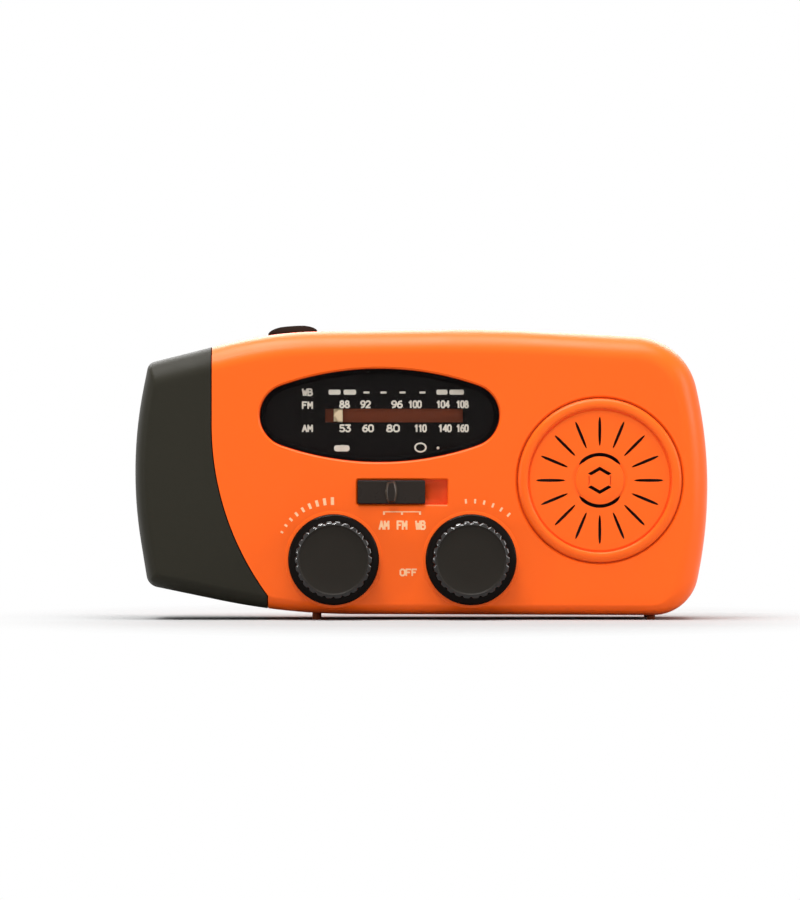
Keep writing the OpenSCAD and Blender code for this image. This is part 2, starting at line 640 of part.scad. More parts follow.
module gearbox_frame() color("#d9dbd6") {
  difference() {
    block(frame_x, [frame_y, frame_y + 1.2], frame_z);
    rod_y(crank_at, frame_y - 1, frame_y + 2, crank_shaft_r + 0.05);
    rod_y(rotor_at, frame_y - 1, frame_y + 2, 1.6);
  }
  rod_y(idler_at, frame_y + 1.2, y_in_rear - 1.6, 1);
  rod_y(idler_at, frame_y + 1.2, gear_low_y - 0.2, 2);
  for (x = [frame_x[0] + 2.5, frame_x[1] - 2]) for (z = [frame_z[0] + 2, frame_z[1] - 2])
    rod_y([x, z], frame_y + 1.2, y_in_rear - 1.6, 1.5);
}
module gearbox_cover() color("#d9dbd6") difference() {
  block(frame_x, [y_in_rear - 1.6, y_in_rear], frame_z);
  rod_y(crank_at, y_rear - 6, y_rear, crank_shaft_r + 0.05);
}
module crank_bearing() color("#c9a44a") difference() {
  rod_y(crank_at, y_in_rear, y_rear + 0.35, 4.5);
  rod_y(crank_at, y_in_rear - 1, y_rear + 1, crank_shaft_r + 0.05);
}
module crank_gear() color("#f1efe6") difference() {
  gear(crank_at, gear_teeth, 180, gear_high_y, gear_w);
  rod_y(crank_at, gear_high_y - 1, gear_high_y + 3, crank_shaft_r);
}
module idler_gear() color("#f1efe6") difference() {
  union() {
    gear(idler_at, gear_teeth, 180, gear_low_y, gear_w);
    gear(idler_at, pinion_teeth, 180 / pinion_teeth, gear_low_y + gear_w - eps,
      gear_high_y - gear_low_y + eps);
  }
  rod_y(idler_at, gear_low_y - 1, gear_high_y + gear_w + 1, 1.05);
}
rotor_y = [frame_y - 7.8, frame_y];
module generator_rotor() color("#7d8288") {
  rod_y(rotor_at, rotor_y[0] + 0.1, gear_low_y + gear_w + 0.4, 1);
  rod_y(rotor_at, rotor_y[0] + 1.4, rotor_y[1] - 1.4, 5);
  difference() {
    gear(rotor_at, pinion_teeth, 180 / pinion_teeth, gear_low_y, gear_w);
    rod_y(rotor_at, gear_low_y - 1, gear_low_y + gear_w + 1, 0.99);
  }
}
module generator_can() color("#b4b8bc") difference() {
  rod_y(rotor_at, rotor_y[0], rotor_y[1], 10);
  rod_y(rotor_at, rotor_y[0] + 0.8, rotor_y[1] - 0.8, 9);
  rod_y(rotor_at, rotor_y[0] - 1, rotor_y[1] + 1, 1.05);
}
module generator_coil() color("#b8743a") difference() {
  rod_y(rotor_at, rotor_y[0] + 1, rotor_y[1] - 1, 9);
  rod_y(rotor_at, rotor_y[0], rotor_y[1], 5.6);
}
module crank_shaft() color("#b9bcc0") difference() {
  rod_y(crank_at, frame_y, arm_y[1] - 1.2, crank_shaft_r);
  rod_y(crank_at, arm_y[1] - 6, arm_y[1], 0.9);
}
module crank_screw() color("#8a8d92") {
  rod_y(crank_at, arm_y[1] - 1.2, arm_y[1] - 0.2, 3);
  rod_y(crank_at, arm_y[1] - 6, arm_y[1] - 1.2, 0.9);
}
// The arm tapers from its hub to the fork that holds the folding grip
module crank_arm() color("#26272a") difference() {
  slab(arm_y[0], arm_y[1]) union() {
    translate(crank_at) circle(r = 7.5);
    translate([grip_x, crank_at.y]) circle(r = arm_w / 2);
    polygon([[grip_x, crank_at.y - arm_w / 2], [crank_at.x - 1, crank_at.y - 7.4],
      [crank_at.x - 1, crank_at.y + 7.4], [grip_x, crank_at.y + arm_w / 2]]);
  }
  rod_y(crank_at, arm_y[0] - 1, arm_y[1] + 1, crank_shaft_r);
  rod_y(crank_at, arm_y[1] - 1.2, arm_y[1] + 1, 3.2);
  block([grip_x - 7, grip_x + grip_l + 3.7], [arm_y[0] - 1, arm_y[1] + 1],
    [crank_at.y - grip_d / 2 - 0.4, crank_at.y + grip_d / 2 + 0.4]);
  translate([grip_x, grip_y, crank_at.y - arm_w]) cylinder(h = 2 * arm_w, r = 0.95);
}
// Yoke that folds out of the arm, with its pin and the post that the grip spins on
module grip_yoke() color("#b9bcc0") {
  translate([grip_x, grip_y, crank_at.y]) {
    cylinder(h = arm_w - 0.6, r = 0.9, center = true);
    cylinder(h = grip_d + 0.4, r = yoke_r, center = true);
  }
  rod_x(grip_x, grip_x + grip_l + 2.7, [grip_y, crank_at.y], grip_post_r);
}
module crank_grip() color("#26272a")
  translate([grip_x + 2.7, grip_y, crank_at.y]) rotate([0, 90, 0]) difference() {
    rotate_extrude() polygon([
      [0, 0], [grip_d / 2 - 0.6, 0], [grip_d / 2, 0.6], [grip_d / 2, grip_l * 0.3],
      [grip_d / 2 - 0.35, grip_l * 0.5], [grip_d / 2, grip_l * 0.75], [grip_d / 2, grip_l - 0.9],
      [grip_d / 2 - 0.9, grip_l], [0, grip_l]
    ]);
    translate([0, 0, -1]) cylinder(h = grip_l + 2, r = grip_post_r + 0.05);
  }

// Antenna: a stud that turns about Y, with a fork for the tubes' knuckle
module antenna_base() color("#c9ccd0") difference() {
  union() {
    rod_y([antenna_at.x, antenna_at.z], antenna_at.y - 2.8, y_rear - 0.1, knuckle_r);
    rod_y([antenna_at.x, antenna_at.z], groove_y - 4, antenna_at.y - 2.7, 2);
    rod_y([antenna_at.x, antenna_at.z], groove_y - 4, groove_y - 1.8, 3);
  }
  block([antenna_at.x - 5, antenna_at.x + 2.3], [antenna_at.y - 2.2, y_rear + 1], about(antenna_at.z, 1.2));
  translate([antenna_at.x, antenna_at.y, antenna_at.z - 5]) cylinder(h = 10, r = 0.85);
}
function tube_r(i) = antenna_d / 2 - i * (antenna_wall + 0.05);
function tube_from(i) = antenna_at.x - knuckle_out - i * 1.5;
function tube_to(i) = antenna_at.x - knuckle_out - antenna_l - i * antenna_step;
// Tube i, where 0 is the widest; each slides out towards -X
module antenna_tube(i) color("#d5d8db") difference() {
  rod_x(tube_to(i), tube_from(i), [antenna_at.y, antenna_at.z], tube_r(i));
  rod_x(tube_to(i) - 1, tube_from(i) - 1, [antenna_at.y, antenna_at.z], tube_r(i) - antenna_wall);
}
module antenna_tube_1() {
  antenna_tube(0);
  color("#c9ccd0") {
    block([tube_from(0) - 0.5, antenna_at.x], about(antenna_at.y, 2), about(antenna_at.z, 1.1));
    translate([antenna_at.x, antenna_at.y, antenna_at.z - 1.1]) cylinder(h = 2.2, r = 2);
    translate([antenna_at.x, antenna_at.y, antenna_at.z - 2.9]) cylinder(h = 5.8, r = 0.8);
  }
}
module antenna_tip() color("#c9ccd0") {
  i = antenna_tubes - 1;
  rod_x(tube_to(i) - 3.2, tube_to(i), [antenna_at.y, antenna_at.z], antenna_d / 2);
  rod_x(tube_to(i), tube_from(i), [antenna_at.y, antenna_at.z], tube_r(i));
}

module case_screws() color("#55585c") for (at = screw_at) difference() {
  union() {
    rod_y(at, -10, y_rear - 6, 1.1);
    rod_y(at, y_rear - 6, y_rear - 4.4, 2.2);
  }
  for (q = [0, 90]) translate([at.x, y_rear - 4.8, at.y]) rotate([0, q, 0])
    cube([2.6, 1, 0.6], center = true);
}
module feet() color("#7a3a1c") for (x = foot_x) for (y = foot_y)
  translate([x, y, 0]) cylinder(h = 2.4, r = foot_r);

front_shell();
rear_shell();
torch_head();
torch_lens();
torch_reflector();
torch_leds();
torch_led_board();
torch_switch();
torch_button();
dial_window();
dial_plate();
dial_frame();
dial_cord();
dial_pointer();
indicator_leds();
volume_knob();
volume_shaft();
volume_pot();
tuning_knob();
tuning_drum();
tuning_capacitor();
band_switch_slider();
band_switch_body();
speaker_grille();
speaker_frame();
speaker_cone();
speaker_magnet();
main_board();
solar_window();
solar_panel();
ferrite_rod();
ferrite_coil();
battery_cell();
battery_contacts();
charge_board();
usb_a_port();
micro_usb_port();
port_cover();
gearbox_frame();
gearbox_cover();
crank_bearing();
crank_shaft();
crank_gear();
crank_arm();
crank_screw();
grip_yoke();
crank_grip();
idler_gear();
generator_rotor();
generator_can();
generator_coil();
antenna_base();
antenna_tube_1();
antenna_tube(1);  // antenna_tube_2
antenna_tube(2);  // antenna_tube_3
antenna_tube(3);  // antenna_tube_4
antenna_tip();  // antenna_tube_5
case_screws();
feet();
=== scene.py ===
"""Looks of the emergency radio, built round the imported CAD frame.

Blender works in metres; a length written in millimetres passes through MM. Profiles are in the object's x and z unless
a comment says otherwise, and a cutter named "tool" is gone once it has cut.
"""

import math

import bmesh
import bpy
from mathutils import Matrix, Vector


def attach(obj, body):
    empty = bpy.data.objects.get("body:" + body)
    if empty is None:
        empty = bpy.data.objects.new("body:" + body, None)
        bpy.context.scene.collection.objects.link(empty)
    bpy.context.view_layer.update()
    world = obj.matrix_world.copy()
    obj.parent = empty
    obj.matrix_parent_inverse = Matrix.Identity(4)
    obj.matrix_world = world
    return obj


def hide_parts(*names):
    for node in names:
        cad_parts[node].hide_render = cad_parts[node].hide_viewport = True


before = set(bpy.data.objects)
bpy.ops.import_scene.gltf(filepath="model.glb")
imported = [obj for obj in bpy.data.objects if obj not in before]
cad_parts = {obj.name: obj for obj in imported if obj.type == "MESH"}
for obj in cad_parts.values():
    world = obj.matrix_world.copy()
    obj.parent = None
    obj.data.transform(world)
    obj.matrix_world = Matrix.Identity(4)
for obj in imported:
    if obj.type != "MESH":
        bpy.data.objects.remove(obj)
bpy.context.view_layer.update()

MM = 0.001
SMOOTH = math.radians(30)

# ---------------------------------------------------------------- the photograph: its size, scale and fixed points
PHOTO_W, PHOTO_H = 800, 900
PX_MM = 0.222                       # millimetres on the front face to a pixel
PX_X0, PX_Z0 = 421, 620             # the column of x = 0 and the row of the floor

# ---------------------------------------------------------------- the housing's outline, as in the CAD
Y_FRONT, Y_REAR, Y_PART = -17.5, 16.0, 0.0
WALL, EDGE_IN, EDGE_DEEP = 2.0, 5.5, 6.5     # the rounded edge reaches this far into the face and down the side
# each corner: x, z, radius, the share of an inset that the side after it takes, and the steps of its arc
CORNERS = [
    (-65.2, 34.6, 96, 0.5, 16),
    (-60.7, 57.1, 2.2, 1, 8),
    (-33.4, 64.0, 92, 1, 14),
    (16.9, 64.7, 350, 1, 12),
    (58.9, 62.4, 14.4, 1, 20),
    (66.0, 31.3, 98, 1, 18),
    (60.1, 0.9, 10.2, 0.45, 18),
    (-30.0, 1.2, 150, 0.6, 14),
    (-60.8, 7.6, 3, 0.5, 10),
]
SEAM_X, SEAM_Z, SEAM_R, SEAM_END_X, SEAM_GAP = -46.7, 43.3, 64.0, -34.2, 0.25
WINDOW_AT, WINDOW_A, WINDOW_B, WINDOW_R = (-9.2, 45.45), 26.75, 10.5, 66.0
VOLUME_AT, TUNING_AT = (-19.4, 13.4), (11.1, 13.4)
GRILLE_AT, GRILLE_R = (39.7, 31.0), 18.2
SLOT_X, SLOT_Z = (-14.2, 5.9), (25.6, 31.2)
SCREWS = [(-40.5, 50), (56, 49), (54, 9.5), (-30.5, 12.5)]
BUTTON_AT, BUTTON_TILT, BUTTON_HOLE = (-28.7, -1.0, 63.85), -3.9, 5.8
SOLAR_X, SOLAR_Y, SOLAR_Z, SOLAR_TILT = (-16.0, 46.0), (-10.5, 7.5), 63.7, 1.02
TORCH_AT, LENS_R, LENS_HALF = (-0.75, 32.4), 9.5, 7.0
GROOVE_Y, GROOVE_Z = 9.8, 53.9
ANTENNA_AT = (50.0, 57.4)
FLAP_X, FLAP_Z = (42.0, 57.8), (17.4, 37.2)
CRANK_AT = (22.0, 34.5)

# round holes: the radius of each
SHAFT_R, CRANK_SEAT_R, CRANK_BEARING_R, ANTENNA_STUD_R, SCREW_HEAD_R, SCREW_R = 3.3, 9, 4.5, 2.05, 2.5, 1.4
# openings: (x range, z range)
SWITCH_STEM = ((-8.7, 0.7), (27.3, 29.5))
PORTS = (((43.4, 56.7), (28.1, 34.0)), ((45.9, 54.1), (20.6, 23.9)))
DIAL_LAMP_AT = (3.8, 38.2)
RAIL_Z, POINTER_X = (43.7, 47.1), -18.4
ARM_TOP = Y_REAR + 5.4

EDGE = 0.32                         # how far a cut edge of the shell is eased
WINDOW_LEDGE = 1.3                  # the shell's ledge behind the rim of the dial window
EDGE_STEPS = 14
CAVITY_STEP = 2.6                   # how much narrower the cavity is near a face
SIDE_STEPS = [3, 6, 10, 8, 3, 3, 18, 6, 3]    # steps of the straight side after each corner
FACE_MIDDLE, FACE_SHARES = (0.0, 32.0), (0.25, 0.5, 0.72, 0.87, 0.96)
SHELL_SHARP = math.radians(28)
ACROSS, FAR_X, FAR_LOW, FAR_HIGH = 40, 90, -20, 100    # where a cutter ends, outside the object


def unit(x, z):
    n = math.hypot(x, z)
    return x / n, z / n


def side_in(i):
    (ax, az), (bx, bz) = CORNERS[i][:2], CORNERS[(i + 1) % len(CORNERS)][:2]
    dx, dz = unit(bx - ax, bz - az)
    return dz, -dx


def inset_corner(i, d, e):
    j = (i - 1) % len(CORNERS)
    px, pz = CORNERS[i][:2]
    a, b = side_in(j), side_in(i)
    ca = a[0] * px + a[1] * pz + d * CORNERS[j][3] + e
    cb = b[0] * px + b[1] * pz + d * CORNERS[i][3] + e
    det = a[0] * b[1] - a[1] * b[0]
    return (ca * b[1] - cb * a[1]) / det, (a[0] * cb - b[0] * ca) / det


def ring(d, e=0.0):
    """The outline in x and z, clockwise from the front, drawn in by d times each side's share and by e.
    It has the same number of points at every inset."""
    n = len(CORNERS)
    pts = [inset_corner(i, d, e) for i in range(n)]
    arcs = []
    for i in range(n):
        (ax, az), (px, pz), (bx, bz) = pts[i - 1], pts[i], pts[(i + 1) % n]
        r = max(CORNERS[i][2] - d - e, 1.0)
        u, v = unit(ax - px, az - pz), unit(bx - px, bz - pz)
        half = math.acos(u[0] * v[0] + u[1] * v[1]) / 2
        mx, mz = unit(u[0] + v[0], u[1] + v[1])
        cx, cz = px + mx * r / math.sin(half), pz + mz * r / math.sin(half)
        t = r / math.tan(half)
        sx, sz = px + u[0] * t - cx, pz + u[1] * t - cz
        ex, ez = px + v[0] * t - cx, pz + v[1] * t - cz
        start = math.atan2(sz, sx)
        turn = (math.atan2(ez, ex) - start + 3 * math.pi) % (2 * math.pi) - math.pi
        steps = CORNERS[i][4]
        arcs.append([(cx + r * math.cos(start + turn * k / steps), cz + r * math.sin(start + turn * k / steps))
                     for k in range(steps + 1)])
    out = []
    for i, steps in enumerate(SIDE_STEPS):
        (ax, az), (bx, bz) = arcs[i][-1], arcs[(i + 1) % n][0]
        out += arcs[i] + [(ax + (bx - ax) * s / steps, az + (bz - az) * s / steps) for s in range(1, steps)]
    return out


# ---------------------------------------------------------------- mesh helpers
def new_object(name, bm, smooth=SMOOTH):
    mesh = bpy.data.meshes.new(name)
    bmesh.ops.recalc_face_normals(bm, faces=bm.faces)
    bm.to_mesh(mesh)
    bm.free()
    obj = bpy.data.objects.new(name, mesh)
    bpy.context.scene.collection.objects.link(obj)
    shade(obj, smooth)
    return obj


def shade(obj, angle=SMOOTH):
    """Smooth shading, with the edges over an angle left sharp."""
    obj.data.shade_smooth()
    obj.data.set_sharp_from_angle(angle=angle)


def weighted(obj):
    """Normals that follow the large faces, so that a flat face looks flat beside its rounded edge."""
    mod = obj.modifiers.new("normals", "WEIGHTED_NORMAL")
    mod.keep_sharp = True
    mod.weight = 80


def even(obj, angle=SMOOTH):
    shade(obj, angle)
    weighted(obj)


def remove(obj):
    mesh = obj.data
    bpy.data.objects.remove(obj)
    bpy.data.meshes.remove(mesh)


def rings_mesh(name, rings, smooth=SMOOTH):
    """A closed solid through rings of points in mm, capped at both ends."""
    bm = bmesh.new()
    made = [[bm.verts.new(Vector(p) * MM) for p in r] for r in rings]
    for a, b in zip(made, made[1:]):
        n = len(a)
        for i in range(n):
            bm.faces.new((a[i], b[i], b[(i + 1) % n], a[(i + 1) % n]))
    bm.faces.new(made[0])
    bm.faces.new(made[-1][::-1])
    return new_object(name, bm, smooth)


def lathe(name, profile, place, steps=96, smooth=SMOOTH):
    """A profile of (radius, height) in mm turned about its own z, then put in place by a matrix in mm."""
    bm = bmesh.new()
    made = []
    for r, h in profile:
        turns = [2 * math.pi * k / steps for k in range(steps if r else 1)]
        made.append([bm.verts.new((place @ Vector((r * math.cos(q), r * math.sin(q), h))) * MM) for q in turns])
    for a, b in zip(made, made[1:]):
        for i in range(steps):
            j = (i + 1) % steps
            # a point on the axis stands for both corners of its side
            corners = dict.fromkeys((a[i % len(a)], a[j % len(a)], b[j % len(b)], b[i % len(b)]))
            if len(corners) > 2:
                bm.faces.new(list(corners))
    if len(made[0]) > 1:
        bm.faces.new(made[0])
    if len(made[-1]) > 1:
        bm.faces.new(made[-1][::-1])
    return new_object(name, bm, smooth)


def on_front(at, y=Y_FRONT):
    """A place on the front face: its z points out of the face, its x to the right and its y up."""
    return Matrix.Translation((at[0], y, at[1])) @ Matrix.Rotation(math.radians(90), 4, "X")


def on_back(at, y=Y_REAR):
    return Matrix.Translation((at[0], y, at[1])) @ Matrix.Rotation(math.radians(-90), 4, "X")


def tilted(at, degrees):
    """A place on the top, turned about Y."""
    return Matrix.Translation(at) @ Matrix.Rotation(math.radians(degrees), 4, "Y")


SOLAR_MID = (SOLAR_X[0] + SOLAR_X[1]) / 2
SOLAR_PLACE = tilted((SOLAR_MID, 0, SOLAR_Z), SOLAR_TILT) @ Matrix.Translation((-SOLAR_MID, 0, 0))
BUTTON_PLACE = tilted(BUTTON_AT, BUTTON_TILT)


def layered(name, layers):
    """A solid through (y, profile) layers."""
    return rings_mesh(name, [[(x, y, z) for x, z in pts] for y, pts in layers])


def prism(name, pts, y0, y1):
    return layered(name, [(y0, pts), (y1, pts)])


def box(name, x, y, z):
    return prism(name, [(x[0], z[0]), (x[0], z[1]), (x[1], z[1]), (x[1], z[0])], y[0], y[1])


def bar_x(name, pts, x0, x1):
    """A profile in y and z between two planes across X."""
    return rings_mesh(name, [[(x, y, z) for y, z in pts] for x in (x0, x1)])


def hole(place, profile, steps=128):
    """A round cutter: (radius, height above the place's face) rings."""
    return lathe("tool", profile, place, steps)


def block(bm, place, pts, h0, h1):
    """A closed prism into bm: pts in a place's own x and y, between two heights above it."""
    low, high = [[bm.verts.new((place @ Vector((x, y, h))) * MM) for x, y in pts] for h in (h0, h1)]
    n = len(pts)
    bm.faces.new(low[::-1])
    bm.faces.new(high)
    for i in range(n):
        bm.faces.new((low[i], low[(i + 1) % n], high[(i + 1) % n], high[i]))


def corners_of(x0, x1, y0, y1):
    return [(x0, y0), (x1, y0), (x1, y1), (x0, y1)]


def turned(pts, q):
    c, s = math.cos(q), math.sin(q)
    return [(x * c - y * s, x * s + y * c) for x, y in pts]


def at_angle(r, degrees):
    return r * math.cos(math.radians(degrees)), r * math.sin(math.radians(degrees))


def cut(obj, tool, mode="DIFFERENCE"):
    mod = obj.modifiers.new("cut", "BOOLEAN")
    mod.object, mod.operation, mod.solver = tool, mode, "EXACT"
    with bpy.context.temp_override(object=obj, active_object=obj, selected_objects=[obj]):
        bpy.ops.object.modifier_apply(modifier=mod.name)
    remove(tool)


def join(name, objs):
    base = objs[0]
    bm = bmesh.new()
    for o in objs:
        bm.from_mesh(o.data)
    bm.to_mesh(base.data)
    bm.free()
    for o in objs[1:]:
        remove(o)
    base.name = name
    return base


def soften(node, width):
    """Rounds the sharp edges of a carried-over CAD node without touching its mesh."""
    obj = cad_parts[node]
    weld = obj.modifiers.new("weld", "WELD")
    weld.merge_threshold = 2e-6
    bevel = obj.modifiers.new("bevel", "BEVEL")
    bevel.width, bevel.segments = width * MM, 2
    bevel.limit_method, bevel.angle_limit = "ANGLE", math.radians(35)
    bevel.use_clamp_overlap = True
    bevel.harden_normals = False
    weighted(obj)


# ---------------------------------------------------------------- materials
def shader(tree, kind, values=None, links=None, **settings):
    """A new node: its settings, its fixed inputs and what feeds the others. Gives its outputs."""
    n = tree.nodes.new("ShaderNode" + kind)
    for key, value in settings.items():
        setattr(n, key, value)
    for key, value in (values or {}).items():
        n.inputs[key].default_value = value
    for key, source in (links or {}).items():
        tree.links.new(source, n.inputs[key])
    return n.outputs


def material(name, color, rough, metal=0.0, vary=0.05, blotch=40, grain=2500, bump=0.02, rough_vary=0.06,
             spec=0.22, coat=0.0, alpha=1.0):
    """A procedural finish: uneven colour and roughness at two scales, and a fine grain of bump mm."""
    mat = bpy.data.materials.new(name)
    mat.use_nodes = True
    tree = mat.node_tree
    bsdf = tree.nodes["Principled BSDF"]
    coord = shader(tree, "TexCoord")["Object"]

    def noise(scale, detail):
        return shader(tree, "TexNoise", {"Scale": scale, "Detail": detail}, {"Vector": coord})["Fac"]

    def remap(value, low, high):
        return shader(tree, "MapRange", {"From Min": 0.3, "From Max": 0.7, "To Min": low, "To Max": high},
                      {"Value": value})["Result"]

    dark = [c * (1 - vary) for c in color] + [1]
    light = [min(c * (1 + vary), 1) for c in color] + [1]
    mixed = shader(tree, "Mix", {"A": dark, "B": light}, {"Factor": remap(noise(blotch, 4), 0, 1)}, data_type="RGBA")
    tree.links.new(mixed["Result"], bsdf.inputs["Base Color"])
    tree.links.new(remap(noise(blotch * 4, 3), rough - rough_vary, rough + rough_vary), bsdf.inputs["Roughness"])
    if bump:
        grained = shader(tree, "Bump", {"Strength": 0.5, "Distance": bump * MM}, {"Height": noise(grain, 2)})
        tree.links.new(grained["Normal"], bsdf.inputs["Normal"])
    for key, value in (("Metallic", metal), ("Specular IOR Level", spec), ("Coat Weight", coat),
                       ("Coat Roughness", 0.1), ("Alpha", alpha)):
        bsdf.inputs[key].default_value = value
    return mat


def srgb(*color):
    """Linear colour from the usual 0 to 255."""
    def lin(c):
        c /= 255
        return c / 12.92 if c <= 0.04045 else ((c + 0.055) / 1.055) ** 2.4
    return tuple(lin(c) for c in color)


# colour, roughness; vary is how uneven the colour is, blotch and grain are the scales of the noise
ORANGE = material("orange_plastic", srgb(250, 98, 14), 0.38, vary=0.025, blotch=22, grain=1800, bump=0.012, spec=0.24)
# the shell's orange made darker for the switch slot's floor: painted shade of the recess
ORANGE_PAINTED_SHADE = material("orange_switch_floor_painted_shade", srgb(224, 72, 14), 0.5, vary=0.03, bump=0.01)
HEAD = material("torch_head_plastic", srgb(39, 37, 29), 0.5, vary=0.06, blotch=30, grain=1500, spec=0.12)
KNOB_FACE = material("knob_face_plastic", srgb(33, 29, 24), 0.45, blotch=60, grain=2400, bump=0.01, spec=0.12)
KNOB_GLOSS = material("knob_gloss_plastic", srgb(14, 7, 4), 0.14, blotch=60, grain=2400, bump=0.003, spec=0.07)
KNOB_SIDE = material("knob_side_plastic", srgb(20, 15, 12), 0.6, blotch=60, grain=2400, bump=0, spec=0)
KNOB_RIM = material("knob_rim_plastic", srgb(22, 17, 14), 0.11, blotch=60, grain=2400, bump=0, spec=0.5,
                    rough_vary=0.02)
SWITCH = material("switch_plastic", srgb(34, 27, 22), 0.3, blotch=80, grain=2400, bump=0.008, spec=0.14)
# the ridge's side walls: the switch plastic made lighter as painted highlight, and glossier for real
RIDGE = material("switch_ridge_gloss_painted_highlight", srgb(72, 62, 53), 0.25, blotch=80, grain=2400, bump=0, spec=0.4)
BUTTON = material("button_plastic", srgb(36, 26, 22), 0.5, blotch=80, grain=2400, bump=0.01, spec=0)
BLACK = material("black_plastic", srgb(27, 27, 28), 0.45, vary=0.07, blotch=50, grain=1500, spec=0.3)
RUBBER = material("rubber", srgb(31, 31, 31), 0.75, vary=0.08, blotch=60, grain=3000)
FOOT = material("foot_rubber", srgb(120, 52, 20), 0.7, vary=0.08, blotch=200, grain=3000, bump=0.01)
PLATE = material("dial_plate_print", srgb(9, 5, 4), 0.5, vary=0.08, blotch=60, bump=0.004, spec=0.1)
# black print, made darker than the dial plate as painted shade
BORDER = material("window_border_print_painted_shade", srgb(3, 2, 2), 0.7, vary=0.08, blotch=60, bump=0, spec=0.05)
BROWN = material("dial_frame_plastic", srgb(150, 72, 40), 0.45, vary=0.06, blotch=60, grain=1500, bump=0.01)
POINTER = material("pointer_plastic", srgb(255, 228, 188), 0.4, vary=0.03, blotch=200, grain=1500, bump=0.005)
PRINT = material("dial_print_ink", srgb(248, 240, 224), 0.5, vary=0.08, blotch=500, grain=3000, bump=0.003)
MARK = material("housing_print_ink", srgb(255, 196, 150), 0.5, vary=0.08, blotch=500, grain=3000, bump=0.003)
LAMP = material("indicator_lamp", srgb(240, 232, 214), 0.12, blotch=300, grain=3000, bump=0.002, coat=0.4)
CHROME = material("chrome", (0.60, 0.61, 0.63), 0.14, metal=1.0, vary=0.02, blotch=90, grain=600, bump=0.002,
                  rough_vary=0.04)
STEEL = material("steel", (0.55, 0.56, 0.58), 0.32, metal=1.0, blotch=90, grain=1800, bump=0.004,
                 rough_vary=0.08)
DARK_STEEL = material("dark_steel", (0.24, 0.245, 0.26), 0.36, metal=1.0, vary=0.06, blotch=120, grain=1800,
                      bump=0.004)
BRASS = material("brass", (0.74, 0.55, 0.24), 0.3, metal=1.0, blotch=90, grain=1800, bump=0.004)
COPPER = material("copper_winding", (0.72, 0.36, 0.17), 0.35, metal=1.0, vary=0.08, blotch=200, grain=4000, bump=0.05)
NYLON = material("natural_plastic", srgb(224, 221, 209), 0.45, vary=0.03, grain=1500, bump=0.01)
BOARD = material("circuit_board", srgb(34, 96, 48), 0.38, vary=0.12, blotch=300, grain=900)
WHITE_BOARD = material("lamp_board", srgb(226, 226, 220), 0.4, vary=0.04, blotch=100, grain=1500, bump=0.01)
CELL = material("battery_sleeve", srgb(58, 166, 62), 0.3, blotch=60, grain=1500, bump=0.006, spec=0.4)
MAGNET = material("magnet", srgb(62, 64, 68), 0.5, vary=0.1, blotch=100, grain=1200)
CORD = material("dial_cord_fibre", srgb(206, 194, 160), 0.8, vary=0.1, blotch=800, grain=5000, bump=0.05)
SOLAR = material("solar_cell", srgb(14, 21, 58), 0.3, vary=0.35, blotch=260, grain=900, bump=0.004, spec=0.08)
BUSBAR = material("solar_busbar", (0.50, 0.51, 0.54), 0.4, metal=1.0, vary=0.04, blotch=300, bump=0.003)
LED = material("torch_led_lens", srgb(250, 240, 190), 0.1, vary=0.03, blotch=400, bump=0.002, coat=0.5)
GLASS = material("clear_cover", srgb(226, 236, 240), 0.06, vary=0.02, blotch=60, grain=900, bump=0.001, spec=0.5,
                 alpha=0.14, rough_vary=0.02)
SOLAR_COVER = material("solar_cover", srgb(226, 236, 240), 0.08, vary=0.02, blotch=60, grain=900, bump=0.001,
                       spec=0.12, alpha=0.06, rough_vary=0.02)
SMOKE = material("smoked_cover", srgb(6, 3, 2), 0.09, blotch=60, grain=900, bump=0, spec=0.1,
                 alpha=0.12, rough_vary=0.02)

CAD_FINISH = {
    "torch_lens": GLASS, "torch_reflector": CHROME, "torch_leds": LED, "torch_led_board": WHITE_BOARD,
    "torch_switch": BLACK, "torch_button": BUTTON, "dial_window": SMOKE, "dial_plate": PLATE, "dial_frame": BROWN,
    "dial_cord": CORD, "dial_pointer": POINTER, "indicator_leds": LAMP, "volume_shaft": STEEL,
    "volume_pot": STEEL, "tuning_drum": NYLON, "tuning_capacitor": NYLON, "band_switch_body": STEEL,
    "speaker_frame": STEEL, "speaker_cone": BLACK, "speaker_magnet": MAGNET, "main_board": BOARD,
    "solar_window": SOLAR_COVER, "solar_panel": SOLAR, "ferrite_rod": MAGNET, "ferrite_coil": COPPER,
    "battery_cell": CELL, "battery_contacts": STEEL, "charge_board": BOARD, "usb_a_port": STEEL,
    "micro_usb_port": STEEL, "port_cover": RUBBER, "gearbox_frame": NYLON, "gearbox_cover": NYLON,
    "crank_bearing": BRASS, "crank_shaft": STEEL, "crank_gear": NYLON, "crank_arm": BLACK, "crank_screw": DARK_STEEL,
    "grip_yoke": STEEL, "crank_grip": BLACK, "idler_gear": NYLON, "generator_rotor": DARK_STEEL,
    "generator_can": STEEL, "generator_coil": COPPER, "antenna_base": CHROME, "antenna_tube_1": CHROME,
    "antenna_tube_2": CHROME, "antenna_tube_3": CHROME, "antenna_tube_4": CHROME, "antenna_tube_5": CHROME,
    "case_screws": DARK_STEEL, "feet": FOOT, "front_shell": ORANGE, "rear_shell": ORANGE, "torch_head": HEAD,
    "speaker_grille": ORANGE, "volume_knob": KNOB_FACE, "tuning_knob": KNOB_FACE, "band_switch_slider": SWITCH,
}
for node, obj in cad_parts.items():
    obj.data.materials.clear()
    obj.data.materials.append(CAD_FINISH[node])


def dress(obj, mat, slot, body, *nodes):
    """Gives a piece its finish and body, and hides the CAD nodes that it stands for. The slot is not used."""
    obj.data.materials.clear()
    obj.data.materials.append(mat)
    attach(obj, body)
    if nodes:
        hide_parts(*nodes)


